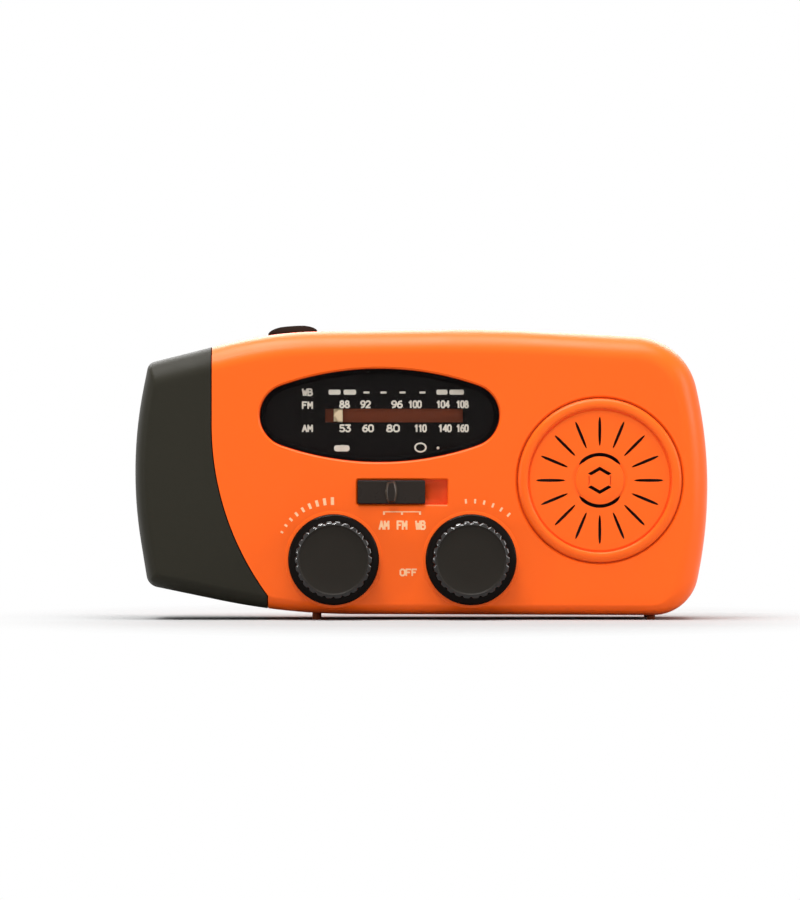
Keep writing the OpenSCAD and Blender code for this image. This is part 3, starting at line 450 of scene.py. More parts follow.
# ---------------------------------------------------------------- camera, light and floor
scene = bpy.context.scene
scene.view_settings.view_transform = "Standard"
PIXEL = PX_MM * MM
SHOT_FAR, SENSOR = 1.6, 36
cam = bpy.data.objects.new("camera", bpy.data.cameras.new("camera"))
scene.collection.objects.link(cam)
cam.data.sensor_width = SENSOR
cam.data.lens = SENSOR * (SHOT_FAR + Y_FRONT * MM) / (PHOTO_H * PIXEL)
cam.location = ((PHOTO_W / 2 - PX_X0) * PIXEL, -SHOT_FAR, (PX_Z0 - PHOTO_H / 2) * PIXEL)
cam.rotation_euler = (math.radians(90), 0, 0)
cam.data.clip_start, cam.data.clip_end = 0.05, 50
scene.camera = cam

# soft lamps on all sides, and two narrow ones for the glints on the knobs: name, size, watts, place
LAMP_AIM = Vector((0, 0, 0.03))
for name, size, power, at in (
        ("light_top", (0.8, 0.4), 10.5, (-0.05, -0.11, 0.85)),
        ("light_back", (0.9, 0.5), 7.5, (0.0, 0.70, 0.55)),
        ("light_front", (1.0, 0.8), 1.5, (0.30, -1.1, 0.32)),
        ("light_right", (0.4, 0.5), 3.4, (0.90, -0.20, 0.30)),
        ("light_spark", (0.28, 0.025), 2.8, (-0.22, -0.40, 0.72)),
        ("light_spark_left", (0.04, 0.16), 1.0, (-0.80, -0.42, 0.10))):
    data = bpy.data.lights.new(name, "AREA")
    data.shape = "RECTANGLE"
    data.size, data.size_y = size
    data.energy = power
    obj = bpy.data.objects.new(name, data)
    scene.collection.objects.link(obj)
    obj.location = at
    obj.rotation_euler = (LAMP_AIM - Vector(at)).to_track_quat("-Z", "Y").to_euler()


def larger(tree, a, b):
    return shader(tree, "Math", links={0: a, 1: b}, operation="MAXIMUM")[0]


# the world is white to the eye, in reflections and through glass, and gives less light than that
WORLD_LIGHT = 0.31
world = bpy.data.worlds.new("world")
scene.world = world
world.use_nodes = True
tree = world.node_tree
back = tree.nodes["Background"].inputs
path = shader(tree, "LightPath")
seen = larger(tree, path["Is Camera Ray"], larger(tree, path["Is Glossy Ray"], path["Is Transmission Ray"]))
strength = shader(tree, "MapRange", {"To Min": WORLD_LIGHT, "To Max": 1.0}, {"Value": seen})
tree.links.new(strength["Result"], back["Strength"])
back["Color"].default_value = (1, 1, 1, 1)

# the floor takes the shadow near the object and fades to white further off
FLOOR_OVAL, FADE_FROM, FADE_TO = (1.6, 1.0, 1.0), 0.105, 0.18
FLOOR_DARK, FLOOR_PALE = 0.37, 0.39
bm = bmesh.new()
bmesh.ops.create_grid(bm, x_segments=1, y_segments=1, size=4)
floor = new_object("floor", bm)
floor_mat = bpy.data.materials.new("floor")
floor_mat.use_nodes = True
tree = floor_mat.node_tree
tree.nodes.clear()
coord = shader(tree, "TexCoord")["Object"]
oval = shader(tree, "VectorMath", {1: FLOOR_OVAL}, {0: coord}, operation="MULTIPLY")["Vector"]
length = shader(tree, "VectorMath", links={0: oval}, operation="LENGTH")["Value"]
fade = shader(tree, "MapRange", {"From Min": FADE_FROM, "From Max": FADE_TO}, {"Value": length},
              interpolation_type="SMOOTHSTEP")["Result"]
path = shader(tree, "LightPath")
seen = larger(tree, path["Is Camera Ray"], path["Is Glossy Ray"])
far = shader(tree, "Math", links={0: fade, 1: seen}, operation="MULTIPLY")[0]
speck = shader(tree, "TexNoise", {"Scale": 30}, {"Vector": coord})["Fac"]
tone = shader(tree, "MapRange", {"To Min": FLOOR_DARK, "To Max": FLOOR_PALE}, {"Value": speck})["Result"]
diffuse = shader(tree, "BsdfDiffuse", links={"Color": tone})[0]
white = shader(tree, "Emission", {"Strength": 1.0})[0]
blend = shader(tree, "MixShader", links={0: far, 1: diffuse, 2: white})[0]
shader(tree, "OutputMaterial", links={"Surface": blend})
floor.data.materials.append(floor_mat)


# ---------------------------------------------------------------- profiles of the housing
def edge_rings(rear):
    """Rings of the rounded edge, from the face to where the side is straight."""
    rings = []
    for k in range(EDGE_STEPS + 1):
        t = math.radians(90 * k / EDGE_STEPS)
        depth = EDGE_DEEP * (1 - math.sin(math.pi / 2 - t))
        inset = EDGE_IN * (1 - math.cos(math.pi / 2 - t))
        y = Y_REAR - depth if rear else Y_FRONT + depth
        rings.append([(x, y, z) for x, z in ring(inset)])
    return rings


def face_rings(rings, y):
    """The flat face, in rings that shrink towards its middle, so that its shading stays even."""
    cx, cz = FACE_MIDDLE
    return [[(cx + (x - cx) * s, y, cz + (z - cz) * s) for x, _, z in rings[0]] for s in FACE_SHARES]


def half_body(name, rear):
    rings = edge_rings(rear)
    sides = [[(x, Y_PART + (y - Y_PART) * s, z) for x, y, z in rings[-1]] for s in (0.66, 0.33)]
    end = [[(x, Y_PART, z) for x, _, z in rings[-1]]]
    return rings_mesh(name, face_rings(rings, Y_REAR if rear else Y_FRONT) + rings + sides + end)


def hollow(y0, y1, rear):
    """The two steps of the cavity in one half: (inset, from, to)."""
    if rear:
        return [(0.0, y0, Y_REAR - EDGE_DEEP + 1.5), (CAVITY_STEP, Y_REAR - EDGE_DEEP + 1, y1)]
    return [(0.0, Y_FRONT + EDGE_DEEP - 1.5, y1), (CAVITY_STEP, y0, Y_FRONT + EDGE_DEEP - 1)]


def seam_profile(shift):
    """Everything to the torch's side of the seam."""
    r = SEAM_R - shift
    cx = SEAM_X + SEAM_R
    pts = [(-FAR_X, FAR_LOW), (-FAR_X, FAR_HIGH), (SEAM_X + shift, FAR_HIGH), (SEAM_X + shift, SEAM_Z)]
    end_x = SEAM_END_X + shift
    stop = math.asin(-math.sqrt(max(r * r - (end_x - cx) ** 2, 0)) / r)
    steps = 48
    for k in range(1, steps + 1):
        q = stop * k / steps
        pts.append((cx - r * math.cos(q), SEAM_Z + r * math.sin(q)))
    pts.append((end_x, FAR_LOW))
    return pts


def right_of_seam(shift):
    return seam_profile(shift)[2:] + [(FAR_X, FAR_LOW), (FAR_X, FAR_HIGH)]


def lens_shape(inset):
    """The dial window's pointed oval."""
    a, b, big = WINDOW_A - inset, WINDOW_B - inset, WINDOW_R - inset
    end_r = (big * big - a * a - (big - b) ** 2) / (2 * (big - a))
    turn = math.atan2(big - b, a - end_r)
    end_steps, long_steps = 12, 40
    pts = []
    for side, start in ((1, 0), (-1, math.pi)):
        for k in range(-end_steps, end_steps + 1):
            q = start + turn * k / end_steps
            pts.append((side * (a - end_r) + end_r * math.cos(q), end_r * math.sin(q)))
        for k in range(1, long_steps):
            q = start + turn + (math.pi - 2 * turn) * k / long_steps
            pts.append((big * math.cos(q), side * (b - big) + big * math.sin(q)))
    return [(x + WINDOW_AT[0], z + WINDOW_AT[1]) for x, z in pts]


def rect(x, z, r=0.0, grow=0.0):
    """A rectangle with rounded corners, let out by grow."""
    x0, x1, z0, z1 = x[0] - grow, x[1] + grow, z[0] - grow, z[1] + grow
    r = r + grow if r else max(grow, 0.01)
    pts = []
    for cx, cz, start in ((x1 - r, z1 - r, 0), (x0 + r, z1 - r, 90), (x0 + r, z0 + r, 180), (x1 - r, z0 + r, 270)):
        for k in range(7):
            q = math.radians(start + 15 * k)
            pts.append((cx + r * math.cos(q), cz + r * math.sin(q)))
    return pts


def pill(r):
    """The torch window's upright pill, in y and z."""
    steps, (y, z) = 24, TORCH_AT
    return [(y + side * r * math.cos(math.pi * k / steps),
             z + side * (LENS_HALF + r * math.sin(math.pi * k / steps)))
            for side in (1, -1) for k in range(steps + 1)]


def solar_bed():
    """The bed of the solar panel, with its upper edge eased."""
    rings = []
    for grow, h in ((0, -2.5), (0, -0.1), (0.35, 0.25), (4, 4)):
        flat = corners_of(SOLAR_X[0] - grow, SOLAR_X[1] + grow, SOLAR_Y[0] - grow, SOLAR_Y[1] + grow)
        rings.append([SOLAR_PLACE @ Vector((x, y, h)) for x, y in flat])
    return rings_mesh("tool", rings)


def button_hole():
    return hole(BUTTON_PLACE, [(BUTTON_HOLE + 2.4, 2.3), (BUTTON_HOLE + 0.35, 0.25), (BUTTON_HOLE, -0.2),
                               (BUTTON_HOLE, -8)], steps=96)


# ---------------------------------------------------------------- front shell
front = half_body("front_shell_body", rear=False)
for inset, y0, y1 in hollow(Y_FRONT + WALL, Y_PART + 1, rear=False):
    cut(front, prism("tool", ring(inset, WALL), y0, y1))
cut(front, prism("tool", seam_profile(SEAM_GAP), -ACROSS, ACROSS))
cut(front, layered("tool", [(Y_FRONT - 1, lens_shape(-EDGE - 1)), (Y_FRONT + EDGE, lens_shape(0)),
                            (Y_FRONT + 1.5, lens_shape(0))]))
cut(front, prism("tool", lens_shape(WINDOW_LEDGE), Y_FRONT + 1, Y_FRONT + 4))
cut(front, layered("tool", [(Y_FRONT - 1, rect(SLOT_X, SLOT_Z, 0.3, EDGE + 1)),
                            (Y_FRONT + EDGE, rect(SLOT_X, SLOT_Z, 0.3)), (Y_FRONT + 1.4, rect(SLOT_X, SLOT_Z, 0.3))]))
cut(front, box("tool", SWITCH_STEM[0], (Y_FRONT + 1, Y_FRONT + 4), SWITCH_STEM[1]))
GRILLE_BED = GRILLE_R + 0.3
cut(front, hole(on_front(GRILLE_AT), [(GRILLE_BED + EDGE + 1, 1), (GRILLE_BED, -EDGE), (GRILLE_BED, -1.2)]))
cut(front, hole(on_front(GRILLE_AT), [(GRILLE_R - 1, -0.6), (GRILLE_R - 1, -6)]))
for at in (VOLUME_AT, TUNING_AT):
    cut(front, hole(on_front(at), [(SHAFT_R, 2), (SHAFT_R, -6)], steps=48))
cut(front, solar_bed())
cut(front, button_hole())
even(front, SHELL_SHARP)
dress(front, ORANGE, "front_shell", "housing", "front_shell")
for name, at in (("volume", VOLUME_AT), ("tuning", TUNING_AT)):
    seat = lathe(name + "_knob_seat", [(SHAFT_R, -0.05), (SHAFT_R, 0.12), (10.55, 0.12), (10.72, 0.08), (10.8, -0.05)],
                 on_front(at), 128)
    dress(seat, ORANGE, "front_shell", "housing")

# ---------------------------------------------------------------- rear shell
rear = half_body("rear_shell_body", rear=True)
for inset, y0, y1 in hollow(Y_PART - 1, Y_REAR - WALL, rear=True):
    tool = prism("tool", ring(inset, WALL), y0, y1)
    cut(tool, box("tool2", (-80, 80), (GROOVE_Y - 1.6, 30), (GROOVE_Z - 1.6, 90)))
    cut(tool, box("tool2", (SOLAR_X[0] - 1.2, SOLAR_X[1] + 1.2), (-30, SOLAR_Y[1] + 1.2), (59, 90)))
    cut(rear, tool)
crank_seat = [(CRANK_SEAT_R, -0.6), (CRANK_SEAT_R, 0.2), (CRANK_SEAT_R - 0.15, 0.35), (0, 0.35)]
cut(rear, lathe("tool", crank_seat, on_back(CRANK_AT)), "UNION")
cut(rear, hole(on_back(CRANK_AT), [(CRANK_BEARING_R, 2), (CRANK_BEARING_R, -4)], steps=64))
cut(rear, prism("tool", seam_profile(SEAM_GAP), -ACROSS, ACROSS))
cut(rear, solar_bed())
cut(rear, button_hole())
# the groove for the antenna, in y and z
GROOVE = [(GROOVE_Y, 80), (GROOVE_Y, GROOVE_Z + 0.8), (GROOVE_Y + 0.25, GROOVE_Z + 0.25), (GROOVE_Y + 0.8, GROOVE_Z),
          (Y_REAR - 0.9, GROOVE_Z), (Y_REAR - 0.2, GROOVE_Z - 0.25), (Y_REAR + 1.5, GROOVE_Z - 1.6),
          (Y_REAR + 1.5, 80)]
cut(rear, bar_x("tool", GROOVE, -80, 80))
cut(rear, hole(on_back(ANTENNA_AT), [(ANTENNA_STUD_R, -5), (ANTENNA_STUD_R, -9.5)], steps=48))
for at in SCREWS:
    cut(rear, hole(on_back(at), [(SCREW_HEAD_R + 1.25, 1), (SCREW_HEAD_R, -0.25), (SCREW_HEAD_R, -6)], steps=48))
    cut(rear, hole(on_back(at), [(SCREW_R, -5), (SCREW_R, -12)], steps=32))
cut(rear, layered("tool", [(Y_REAR - 1.2, rect(FLAP_X, FLAP_Z, 0.5)), (Y_REAR - 0.2, rect(FLAP_X, FLAP_Z, 0.5)),
                           (Y_REAR + 1, rect(FLAP_X, FLAP_Z, 0.5, 1.2))]))
for x, z in PORTS:
    cut(rear, box("tool", x, (Y_REAR - 3, Y_REAR - 0.8), z))
even(rear, SHELL_SHARP)
dress(rear, ORANGE, "rear_shell", "housing", "rear_shell")

# ---------------------------------------------------------------- torch head, its lip inside the shells, and button
front_edge, rear_edge = edge_rings(rear=False), edge_rings(rear=True)
side_from, side_to = front_edge[-1][0][1], rear_edge[-1][0][1]
sides = [[(x, side_from + (side_to - side_from) * k / 5, z) for x, _, z in front_edge[-1]] for k in range(1, 5)]
torch_head = rings_mesh("torch_head_body", face_rings(front_edge, Y_FRONT) + front_edge + sides + rear_edge[::-1]
                        + face_rings(rear_edge, Y_REAR)[::-1])
cut(torch_head, prism("tool", right_of_seam(0), -ACROSS, ACROSS))
for inset, y0, y1 in ((0.0, Y_FRONT + 5.2, Y_REAR - 5.2), (CAVITY_STEP, Y_FRONT + 2.1, Y_FRONT + 5.3),
                      (CAVITY_STEP, Y_REAR - 5.3, Y_REAR - 2.1)):
    lip = prism("lip", ring(inset, WALL + 0.1), y0, y1)
    cut(lip, prism("tool", right_of_seam(2.5), -ACROSS, ACROSS))
    cut(lip, prism("tool", seam_profile(-1.5), -ACROSS, ACROSS))
    cut(lip, box("tool", (-80, 0), (GROOVE_Y - 1.75, 30), (GROOVE_Z - 1.75, 90)))
    cut(torch_head, lip, "UNION")
for inset, y0, y1 in ((0.0, Y_FRONT + 6.5, Y_REAR - 6.5), (CAVITY_STEP, Y_FRONT + 3.2, Y_REAR - 3.2)):
    room = prism("room", ring(inset, WALL + 1.2), y0, y1)
    cut(room, box("tool", (-90, -59), (-ACROSS, ACROSS), (-20, 90)))
    cut(room, box("tool", (-80, 80), (GROOVE_Y - 2.9, 30), (GROOVE_Z - 2.9, 90)))
    cut(torch_head, room)
cut(torch_head, bar_x("tool", GROOVE, -80, 0))
lens_bed = ((-66, 3.4), (-62.95, 1.15), (-62.6, 0.8), (-62.4, 0.3), (-62.2, 0), (-61, 0))
cut(torch_head, rings_mesh("tool", [[(x, y, z) for y, z in pill(LENS_R + more)] for x, more in lens_bed]))
cut(torch_head, bar_x("tool", pill(LENS_R + 1.2), -61.02, -58))
even(torch_head, SHELL_SHARP)
dress(torch_head, HEAD, "torch_head", "housing", "torch_head")

button = lathe("torch_button_cap", [
    (0, -3.2), (6.4, -3.2), (6.4, -2.5), (5.5, -2.5), (5.5, 0.25), (5.45, 0.42), (5.3, 0.6), (5.0, 0.82), (4.8, 0.98),
    (4.3, 1.18), (3.9, 1.33), (3.3, 1.48), (2.7, 1.6), (1.6, 1.67), (0, 1.7)], BUTTON_PLACE, 96, math.radians(50))
dress(button, BUTTON, "torch_button", "torch_button", "torch_button")


# ---------------------------------------------------------------- knobs
KNOB_SKIRT = [(3.0, 0.3), (9.85, 0.3), (10.05, 0.4), (10.1, 0.55), (10.1, 1.15), (10.02, 1.4), (9.82, 1.6),
              (9.55, 1.68), (8.9, 1.7), (3.0, 1.7)]
# radius, height and how much of the flutes' depth
KNOB_CAP = [(8.7, 1.6, 1.0), (8.7, 1.9, 1.0), (8.68, 3.0, 1.0), (8.65, 4.2, 1.0), (8.62, 4.6, 1.0), (8.57, 4.88, 0.95),
            (8.5, 5.05, 0.9), (8.42, 5.13, 0.85), (8.14, 5.305, 0.5), (7.86, 5.47, 0.1), (7.78, 5.49, 0.05),
            (7.7, 5.47, 0), (7.6, 5.38, 0), (7.5, 5.27, 0), (7.3, 5.22, 0), (4.5, 5.14, 0), (1.5, 5.12, 0)]
FLUTES, STEPS_PER_FLUTE = 26, 12
FLUTE_OUT, FLUTE_IN = 0.05, 0.42
RIM_FROM_R, RIM_FROM_H = 7.76, 4.5     # the bevel that catches the light lies outside and above these


def knob(name, at, body, node):
    place = on_front(at)
    dress(lathe(name + "_skirt", KNOB_SKIRT, place, 160), KNOB_GLOSS, node, body, node)
    n = FLUTES * STEPS_PER_FLUTE
    rings = []
    for r, h, deep in KNOB_CAP:
        pts = []
        for k in range(n):
            q = 2 * math.pi * k / n
            fluted = r + deep * (FLUTE_OUT - FLUTE_IN * max(0.0, -math.cos(FLUTES * q)) ** 1.3)
            pts.append(place @ Vector((fluted * math.cos(q), fluted * math.sin(q), h)))
        rings.append(pts)
    cap = rings_mesh(name + "_cap", rings, math.radians(40))
    dress(cap, KNOB_FACE, node, body, node)
    cap.data.materials.append(KNOB_RIM)
    cap.data.materials.append(KNOB_SIDE)
    middle = Vector(place.translation) * MM
    for poly in cap.data.polygons:
        away = poly.center - middle
        if -away.y < RIM_FROM_H * MM or poly.normal.y > -0.4:
            poly.material_index = 2
        elif math.hypot(away.x, away.z) > RIM_FROM_R * MM:
            poly.material_index = 1


knob("volume", VOLUME_AT, "volume", "volume_knob")
knob("tuning", TUNING_AT, "tuning", "tuning_knob")

# ---------------------------------------------------------------- band switch
SLIDER_X, SLIDER_Z = (SLOT_X[0] + 0.15, SLOT_X[0] + 15.15), (SLOT_Z[0] + 0.2, SLOT_Z[1] - 0.2)
SLIDER_MID_Z, RIDGE_X = (SLOT_Z[0] + SLOT_Z[1]) / 2, -6.6


def shrunk(x, z, e, r):
    return rect((x[0] + e, x[1] - e), (z[0] + e, z[1] - e), r)


# the slot's floor, part of the front shell, takes the darker orange as painted shade
slot_floor = prism("band_switch_floor", shrunk(SLOT_X, SLOT_Z, 0.02, 0.3), Y_FRONT + 1.4, Y_FRONT + 1.35)
cut(slot_floor, box("tool", SWITCH_STEM[0], (Y_FRONT - 2, Y_FRONT + 4), SWITCH_STEM[1]))
dress(slot_floor, ORANGE_PAINTED_SHADE, "front_shell", "housing")
slider = layered("band_switch_cap", [(Y_FRONT + 1.3, rect(SLIDER_X, SLIDER_Z, 0.35)),
                                     (Y_FRONT - 0.3, rect(SLIDER_X, SLIDER_Z, 0.35)),
                                     (Y_FRONT - 0.48, shrunk(SLIDER_X, SLIDER_Z, 0.06, 0.33)),
                                     (Y_FRONT - 0.6, shrunk(SLIDER_X, SLIDER_Z, 0.22, 0.3))])


def ridge_shape(w, h):
    """A pointed oval round the ridge's middle."""
    steps = 20
    return [(RIDGE_X + side * w * (1 - 0.45 * t ** 2), SLIDER_MID_Z - side * h * t)
            for side in (1, -1) for t in [-1 + 2 * k / steps for k in range(steps)]]


ridge = layered("band_switch_ridge", [(Y_FRONT + y, ridge_shape(w, h)) for y, w, h in (
    (-0.5, 1.5, 2.5), (-0.75, 1.35, 2.45), (-1.45, 1.05, 2.3), (-1.65, 0.85, 2.1), (-1.7, 0.6, 1.8))])
stem = box("band_switch_stem", (-8.5, -4.5), (Y_FRONT + 1.2, Y_FRONT + 6.5), (SLIDER_MID_Z - 0.9, SLIDER_MID_Z + 0.9))
slider = join("band_switch_cap", [slider, ridge, stem])
even(slider, math.radians(35))
dress(slider, SWITCH, "band_switch_slider", "band_switch", "band_switch_slider")
slider.data.materials.append(RIDGE)
# faces of the ridge turned sideways take the lighter material, a painted highlight
for poly in slider.data.polygons:
    if poly.center.y < (Y_FRONT - 0.76) * MM and abs(poly.normal.x) > 0.5:
        poly.material_index = 1

# ---------------------------------------------------------------- speaker grille
grille = lathe("speaker_grille_disc", [
    (0, 0.05), (5.2, 0.05), (5.36, 0.0), (5.42, -0.3), (5.72, -0.3), (6.0, -0.2), (6.4, -0.15), (15.5, -0.15),
    (15.62, -0.22), (15.68, -0.4), (15.98, -0.4), (16.02, 0.2), (16.1, 0.36), (16.28, 0.48), (16.6, 0.56),
    (17.0, 0.56), (17.5, 0.44), (17.85, 0.26), (18.05, 0.08), (18.16, -0.12), (18.2, -0.35), (18.2, -1.2),
    (17.1, -1.2), (17.1, -2), (0, -2)], on_front(GRILLE_AT), 192, math.radians(35))


def arc_band(r, w, a, b):
    """A band of an arc from angle a to b, its ends drawn to points."""
    steps = 20
    out = []
    for side in (1, -1):
        for k in range(steps + 1):
            t = k / steps if side == 1 else 1 - k / steps
            q = math.radians(a + (b - a) * t)
            half = w / 2 * min(1.0, 0.25 + 7 * min(t, 1 - t))
            out.append(((r + side * half) * math.cos(q), (r + side * half) * math.sin(q)))
    return out


RAYS = 16
RAY = [(7.6, 0.0), (8.0, 0.17), (8.9, 0.28), (11.0, 0.34), (13.0, 0.30), (13.8, 0.18), (14.2, 0.0),
       (13.8, -0.18), (13.0, -0.30), (11.0, -0.34), (8.9, -0.28), (8.0, -0.17)]
HALF_HEXAGON = [at_angle(3.05, q) for q in (30, 90, 150)] + [at_angle(2.2, q) for q in (150, 90, 30)]
slots = ([turned(RAY, 2 * math.pi * k / RAYS) for k in range(RAYS)]
         + [arc_band(5.72, 0.78, a, a + 104) for a in (38, 218)]
         + [turned(HALF_HEXAGON, q) for q in (0, math.pi)])
bm = bmesh.new()
for pts in slots:
    block(bm, on_front(GRILLE_AT), pts, -3, 2)
cut(grille, new_object("tool", bm))
bm = bmesh.new()
for x in (2.38, -2.38):
    block(bm, on_front(GRILLE_AT), corners_of(x - 0.12, x + 0.12, -1.05, 1.05), -0.35, 1)
cut(grille, new_object("tool", bm))
even(grille)
dress(grille, ORANGE, "speaker_grille", "housing", "speaker_grille")

# ---------------------------------------------------------------- printed marks
# each sign's strokes, in its own height
GLYPHS = {
    "0": [[(0, 0.2), (0, 0.8), (0.2, 1), (0.5, 1), (0.7, 0.8), (0.7, 0.2), (0.5, 0), (0.2, 0), (0, 0.2)]],
    "1": [[(0.1, 0.75), (0.4, 1), (0.4, 0)]],
    "2": [[(0, 0.8), (0.2, 1), (0.5, 1), (0.7, 0.8), (0.7, 0.6), (0, 0), (0.7, 0)]],
    "3": [[(0, 1), (0.7, 1), (0.3, 0.58), (0.55, 0.55), (0.7, 0.38), (0.7, 0.18), (0.5, 0), (0.2, 0), (0, 0.15)]],
    "4": [[(0.55, 0), (0.55, 1), (0, 0.3), (0.75, 0.3)]],
    "5": [[(0.65, 1), (0.08, 1), (0.05, 0.58), (0.45, 0.6), (0.7, 0.42), (0.7, 0.18), (0.5, 0), (0.2, 0), (0, 0.12)]],
    "6": [[(0.6, 1), (0.25, 0.9), (0, 0.5), (0, 0.2), (0.2, 0), (0.5, 0), (0.7, 0.2), (0.7, 0.38), (0.5, 0.56),
           (0.2, 0.56), (0, 0.38)]],
    "8": [[(0.35, 0.54), (0.1, 0.68), (0.1, 0.86), (0.25, 1), (0.45, 1), (0.6, 0.86), (0.6, 0.68), (0.35, 0.54),
           (0, 0.34), (0, 0.14), (0.2, 0), (0.5, 0), (0.7, 0.14), (0.7, 0.34), (0.35, 0.54)]],
    "9": [[(0.1, 0), (0.45, 0.1), (0.7, 0.5), (0.7, 0.8), (0.5, 1), (0.2, 1), (0, 0.8), (0, 0.62), (0.2, 0.44),
           (0.5, 0.44), (0.7, 0.62)]],
    "A": [[(0, 0), (0.35, 1), (0.7, 0)], [(0.14, 0.36), (0.56, 0.36)]],
    "M": [[(0, 0), (0, 1), (0.35, 0.4), (0.7, 1), (0.7, 0)]],
    "F": [[(0.65, 1), (0, 1), (0, 0)], [(0, 0.52), (0.5, 0.52)]],
    "W": [[(0, 1), (0.18, 0), (0.37, 0.7), (0.56, 0), (0.75, 1)]],
    "B": [[(0, 0), (0, 1), (0.45, 1), (0.6, 0.85), (0.6, 0.68), (0.45, 0.54), (0, 0.54)],
          [(0.45, 0.54), (0.68, 0.38), (0.68, 0.16), (0.5, 0), (0, 0)]],
}
GLYPHS["O"] = GLYPHS["0"]

INK, DIAL_Y, MARK_Y = 0.02, Y_FRONT + WALL - 0.001, Y_FRONT + 0.01
# height and line width of the signs
DIAL_SIGN, BAND_SIGN, SWITCH_SIGN = (1.4, 0.36), (1.35, 0.36), (1.7, 0.42)
BAND_SIGN_X = 307.3


def flat(bm, pts, y, t):
    """A thin plate of ink at depth y, t thick towards the front."""
    a = [bm.verts.new(Vector((x, y, z)) * MM) for x, z in pts]
    b = [bm.verts.new(Vector((x, y - t, z)) * MM) for x, z in pts]
    n = len(pts)
    bm.faces.new(a)
    bm.faces.new(b[::-1])
    for i in range(n):
        bm.faces.new((a[i], b[i], b[(i + 1) % n], a[(i + 1) % n]))


def stroke(bm, pts, w, y, t):
    """A line w wide; each leg is a hair thicker than the last, so that no two faces lie in one plane."""
    for k, ((ax, az), (bx, bz)) in enumerate(zip(pts, pts[1:])):
        n = math.hypot(bx - ax, bz - az)
        dx, dz = (bx - ax) / n, (bz - az) / n
        e = w * 0.32
        px, pz = -dz * w / 2, dx * w / 2
        flat(bm, [(ax - dx * e + px, az - dz * e + pz), (bx + dx * e + px, bz + dz * e + pz),
                  (bx + dx * e - px, bz + dz * e - pz), (ax - dx * e - px, az - dz * e - pz)], y, t + 0.0015 * k)


def write(bm, text, mid, base, sign, y, wide):
    """Signs in a row, wide in all, with their middle and their base line given."""
    high, w = sign
    step = high * 0.95
    full = step * (len(text) - 1) + 0.7 * high
    k = wide / full
    for i, c in enumerate(text):
        for j, line in enumerate(GLYPHS[c]):
            stroke(bm, [(mid - full * k / 2 + (i * step + px * high) * k, base + pz * high) for px, pz in line], w, y,
                   INK + 0.0007 * j)


def pad(bm, x0, x1, z0, z1, y, r=0.12):
    flat(bm, rect((x0, x1), (z0, z1), min(r, (x1 - x0) / 2.2, (z1 - z0) / 2.2)), y, INK)


def px_x(p):
    return (p - PX_X0) * PX_MM


def px_z(p):
    return (PX_Z0 - p) * PX_MM


def oval_line(bm, x, z, a, b, w, y):
    """An oval outline, a wide and b high from its middle."""
    steps, inner, outer = 28, (a - w / 2, b - w / 2), (a + w / 2, b + w / 2)
    for k in range(steps):
        q0, q1 = 2 * math.pi * k / steps, 2 * math.pi * (k + 1) / steps
        flat(bm, [(x + size[0] * math.cos(q), z + size[1] * math.sin(q))
                  for size, q in ((inner, q0), (outer, q0), (outer, q1), (inner, q1))], y, INK)


def arc_mark(bm, at, q, long, w):
    """A tick on the face, across a circle round a knob."""
    c, d = math.cos(math.radians(q)), math.sin(math.radians(q))
    stroke(bm, [(at[0] + r * c, at[1] + r * d) for r in (MARK_R - long / 2, MARK_R + long / 2)], w, MARK_Y, INK)


# the dial, placed by the photograph's columns and rows
FM_ROW = (("88", 340, 349), ("92", 361, 370), ("96", 392, 402), ("100", 409, 421), ("104", 437, 449),
          ("108", 457, 468))
AM_ROW = (("53", 340, 350), ("60", 363, 373), ("80", 387, 399), ("110", 415, 426), ("140", 439, 451),
          ("160", 457, 468))
bm = bmesh.new()
for a, b in ((328.5, 340.5), (343.5, 356), (436.5, 447.5), (449.5, 464)):
    pad(bm, px_x(a), px_x(b), px_z(394.6), px_z(389.6), DIAL_Y, 0.35)
for p in (366.5, 383.5, 402.5, 422.5):
    pad(bm, px_x(p - 3), px_x(p + 3), px_z(393.4), px_z(391.4), DIAL_Y)
for base, row in ((407.4, FM_ROW), (431.4, AM_ROW)):
    for text, a, b in row:
        write(bm, text, px_x((a + b) / 2), px_z(base), DIAL_SIGN, DIAL_Y, (b - a) * PX_MM)
for text, base in (("WB", 395.2), ("FM", 408.2), ("AM", 431.4)):
    write(bm, text, px_x(BAND_SIGN_X), px_z(base), BAND_SIGN, DIAL_Y, 2.1)
pad(bm, px_x(334), px_x(349.5), px_z(451.4), px_z(445.2), DIAL_Y, 0.6)
oval_line(bm, px_x(420.5), px_z(447.5), 1.2, 0.95, 0.34, DIAL_Y)
dress(new_object("dial_print", bm), PRINT, "dial_plate", "housing")

# the housing: the switch's places, the word for off, and ticks round the knobs
MARK_R = 13.0
bm = bmesh.new()
pad(bm, px_x(383), px_x(421), px_z(512.3), px_z(511.3), MARK_Y, 0.05)
for p in (384, 402, 420):
    pad(bm, px_x(p - 1), px_x(p + 1), px_z(514.8), px_z(512), MARK_Y, 0.05)
for text, p in (("AM", 384), ("FM", 402), ("WB", 420.5)):
    write(bm, text, px_x(p), px_z(529), SWITCH_SIGN, MARK_Y, 2.0)
write(bm, "OFF", px_x(408.5), px_z(575.5), BAND_SIGN, MARK_Y, 3.6)
for k in range(9):
    arc_mark(bm, VOLUME_AT, 152 - 7.6 * k, 0.35 + 0.11 * k, 0.4 + 0.04 * k)
for k in range(6):
    arc_mark(bm, TUNING_AT, 95 - 9 * k, 0.7, 0.45)
dress(new_object("housing_marks", bm), MARK, "front_shell", "housing")
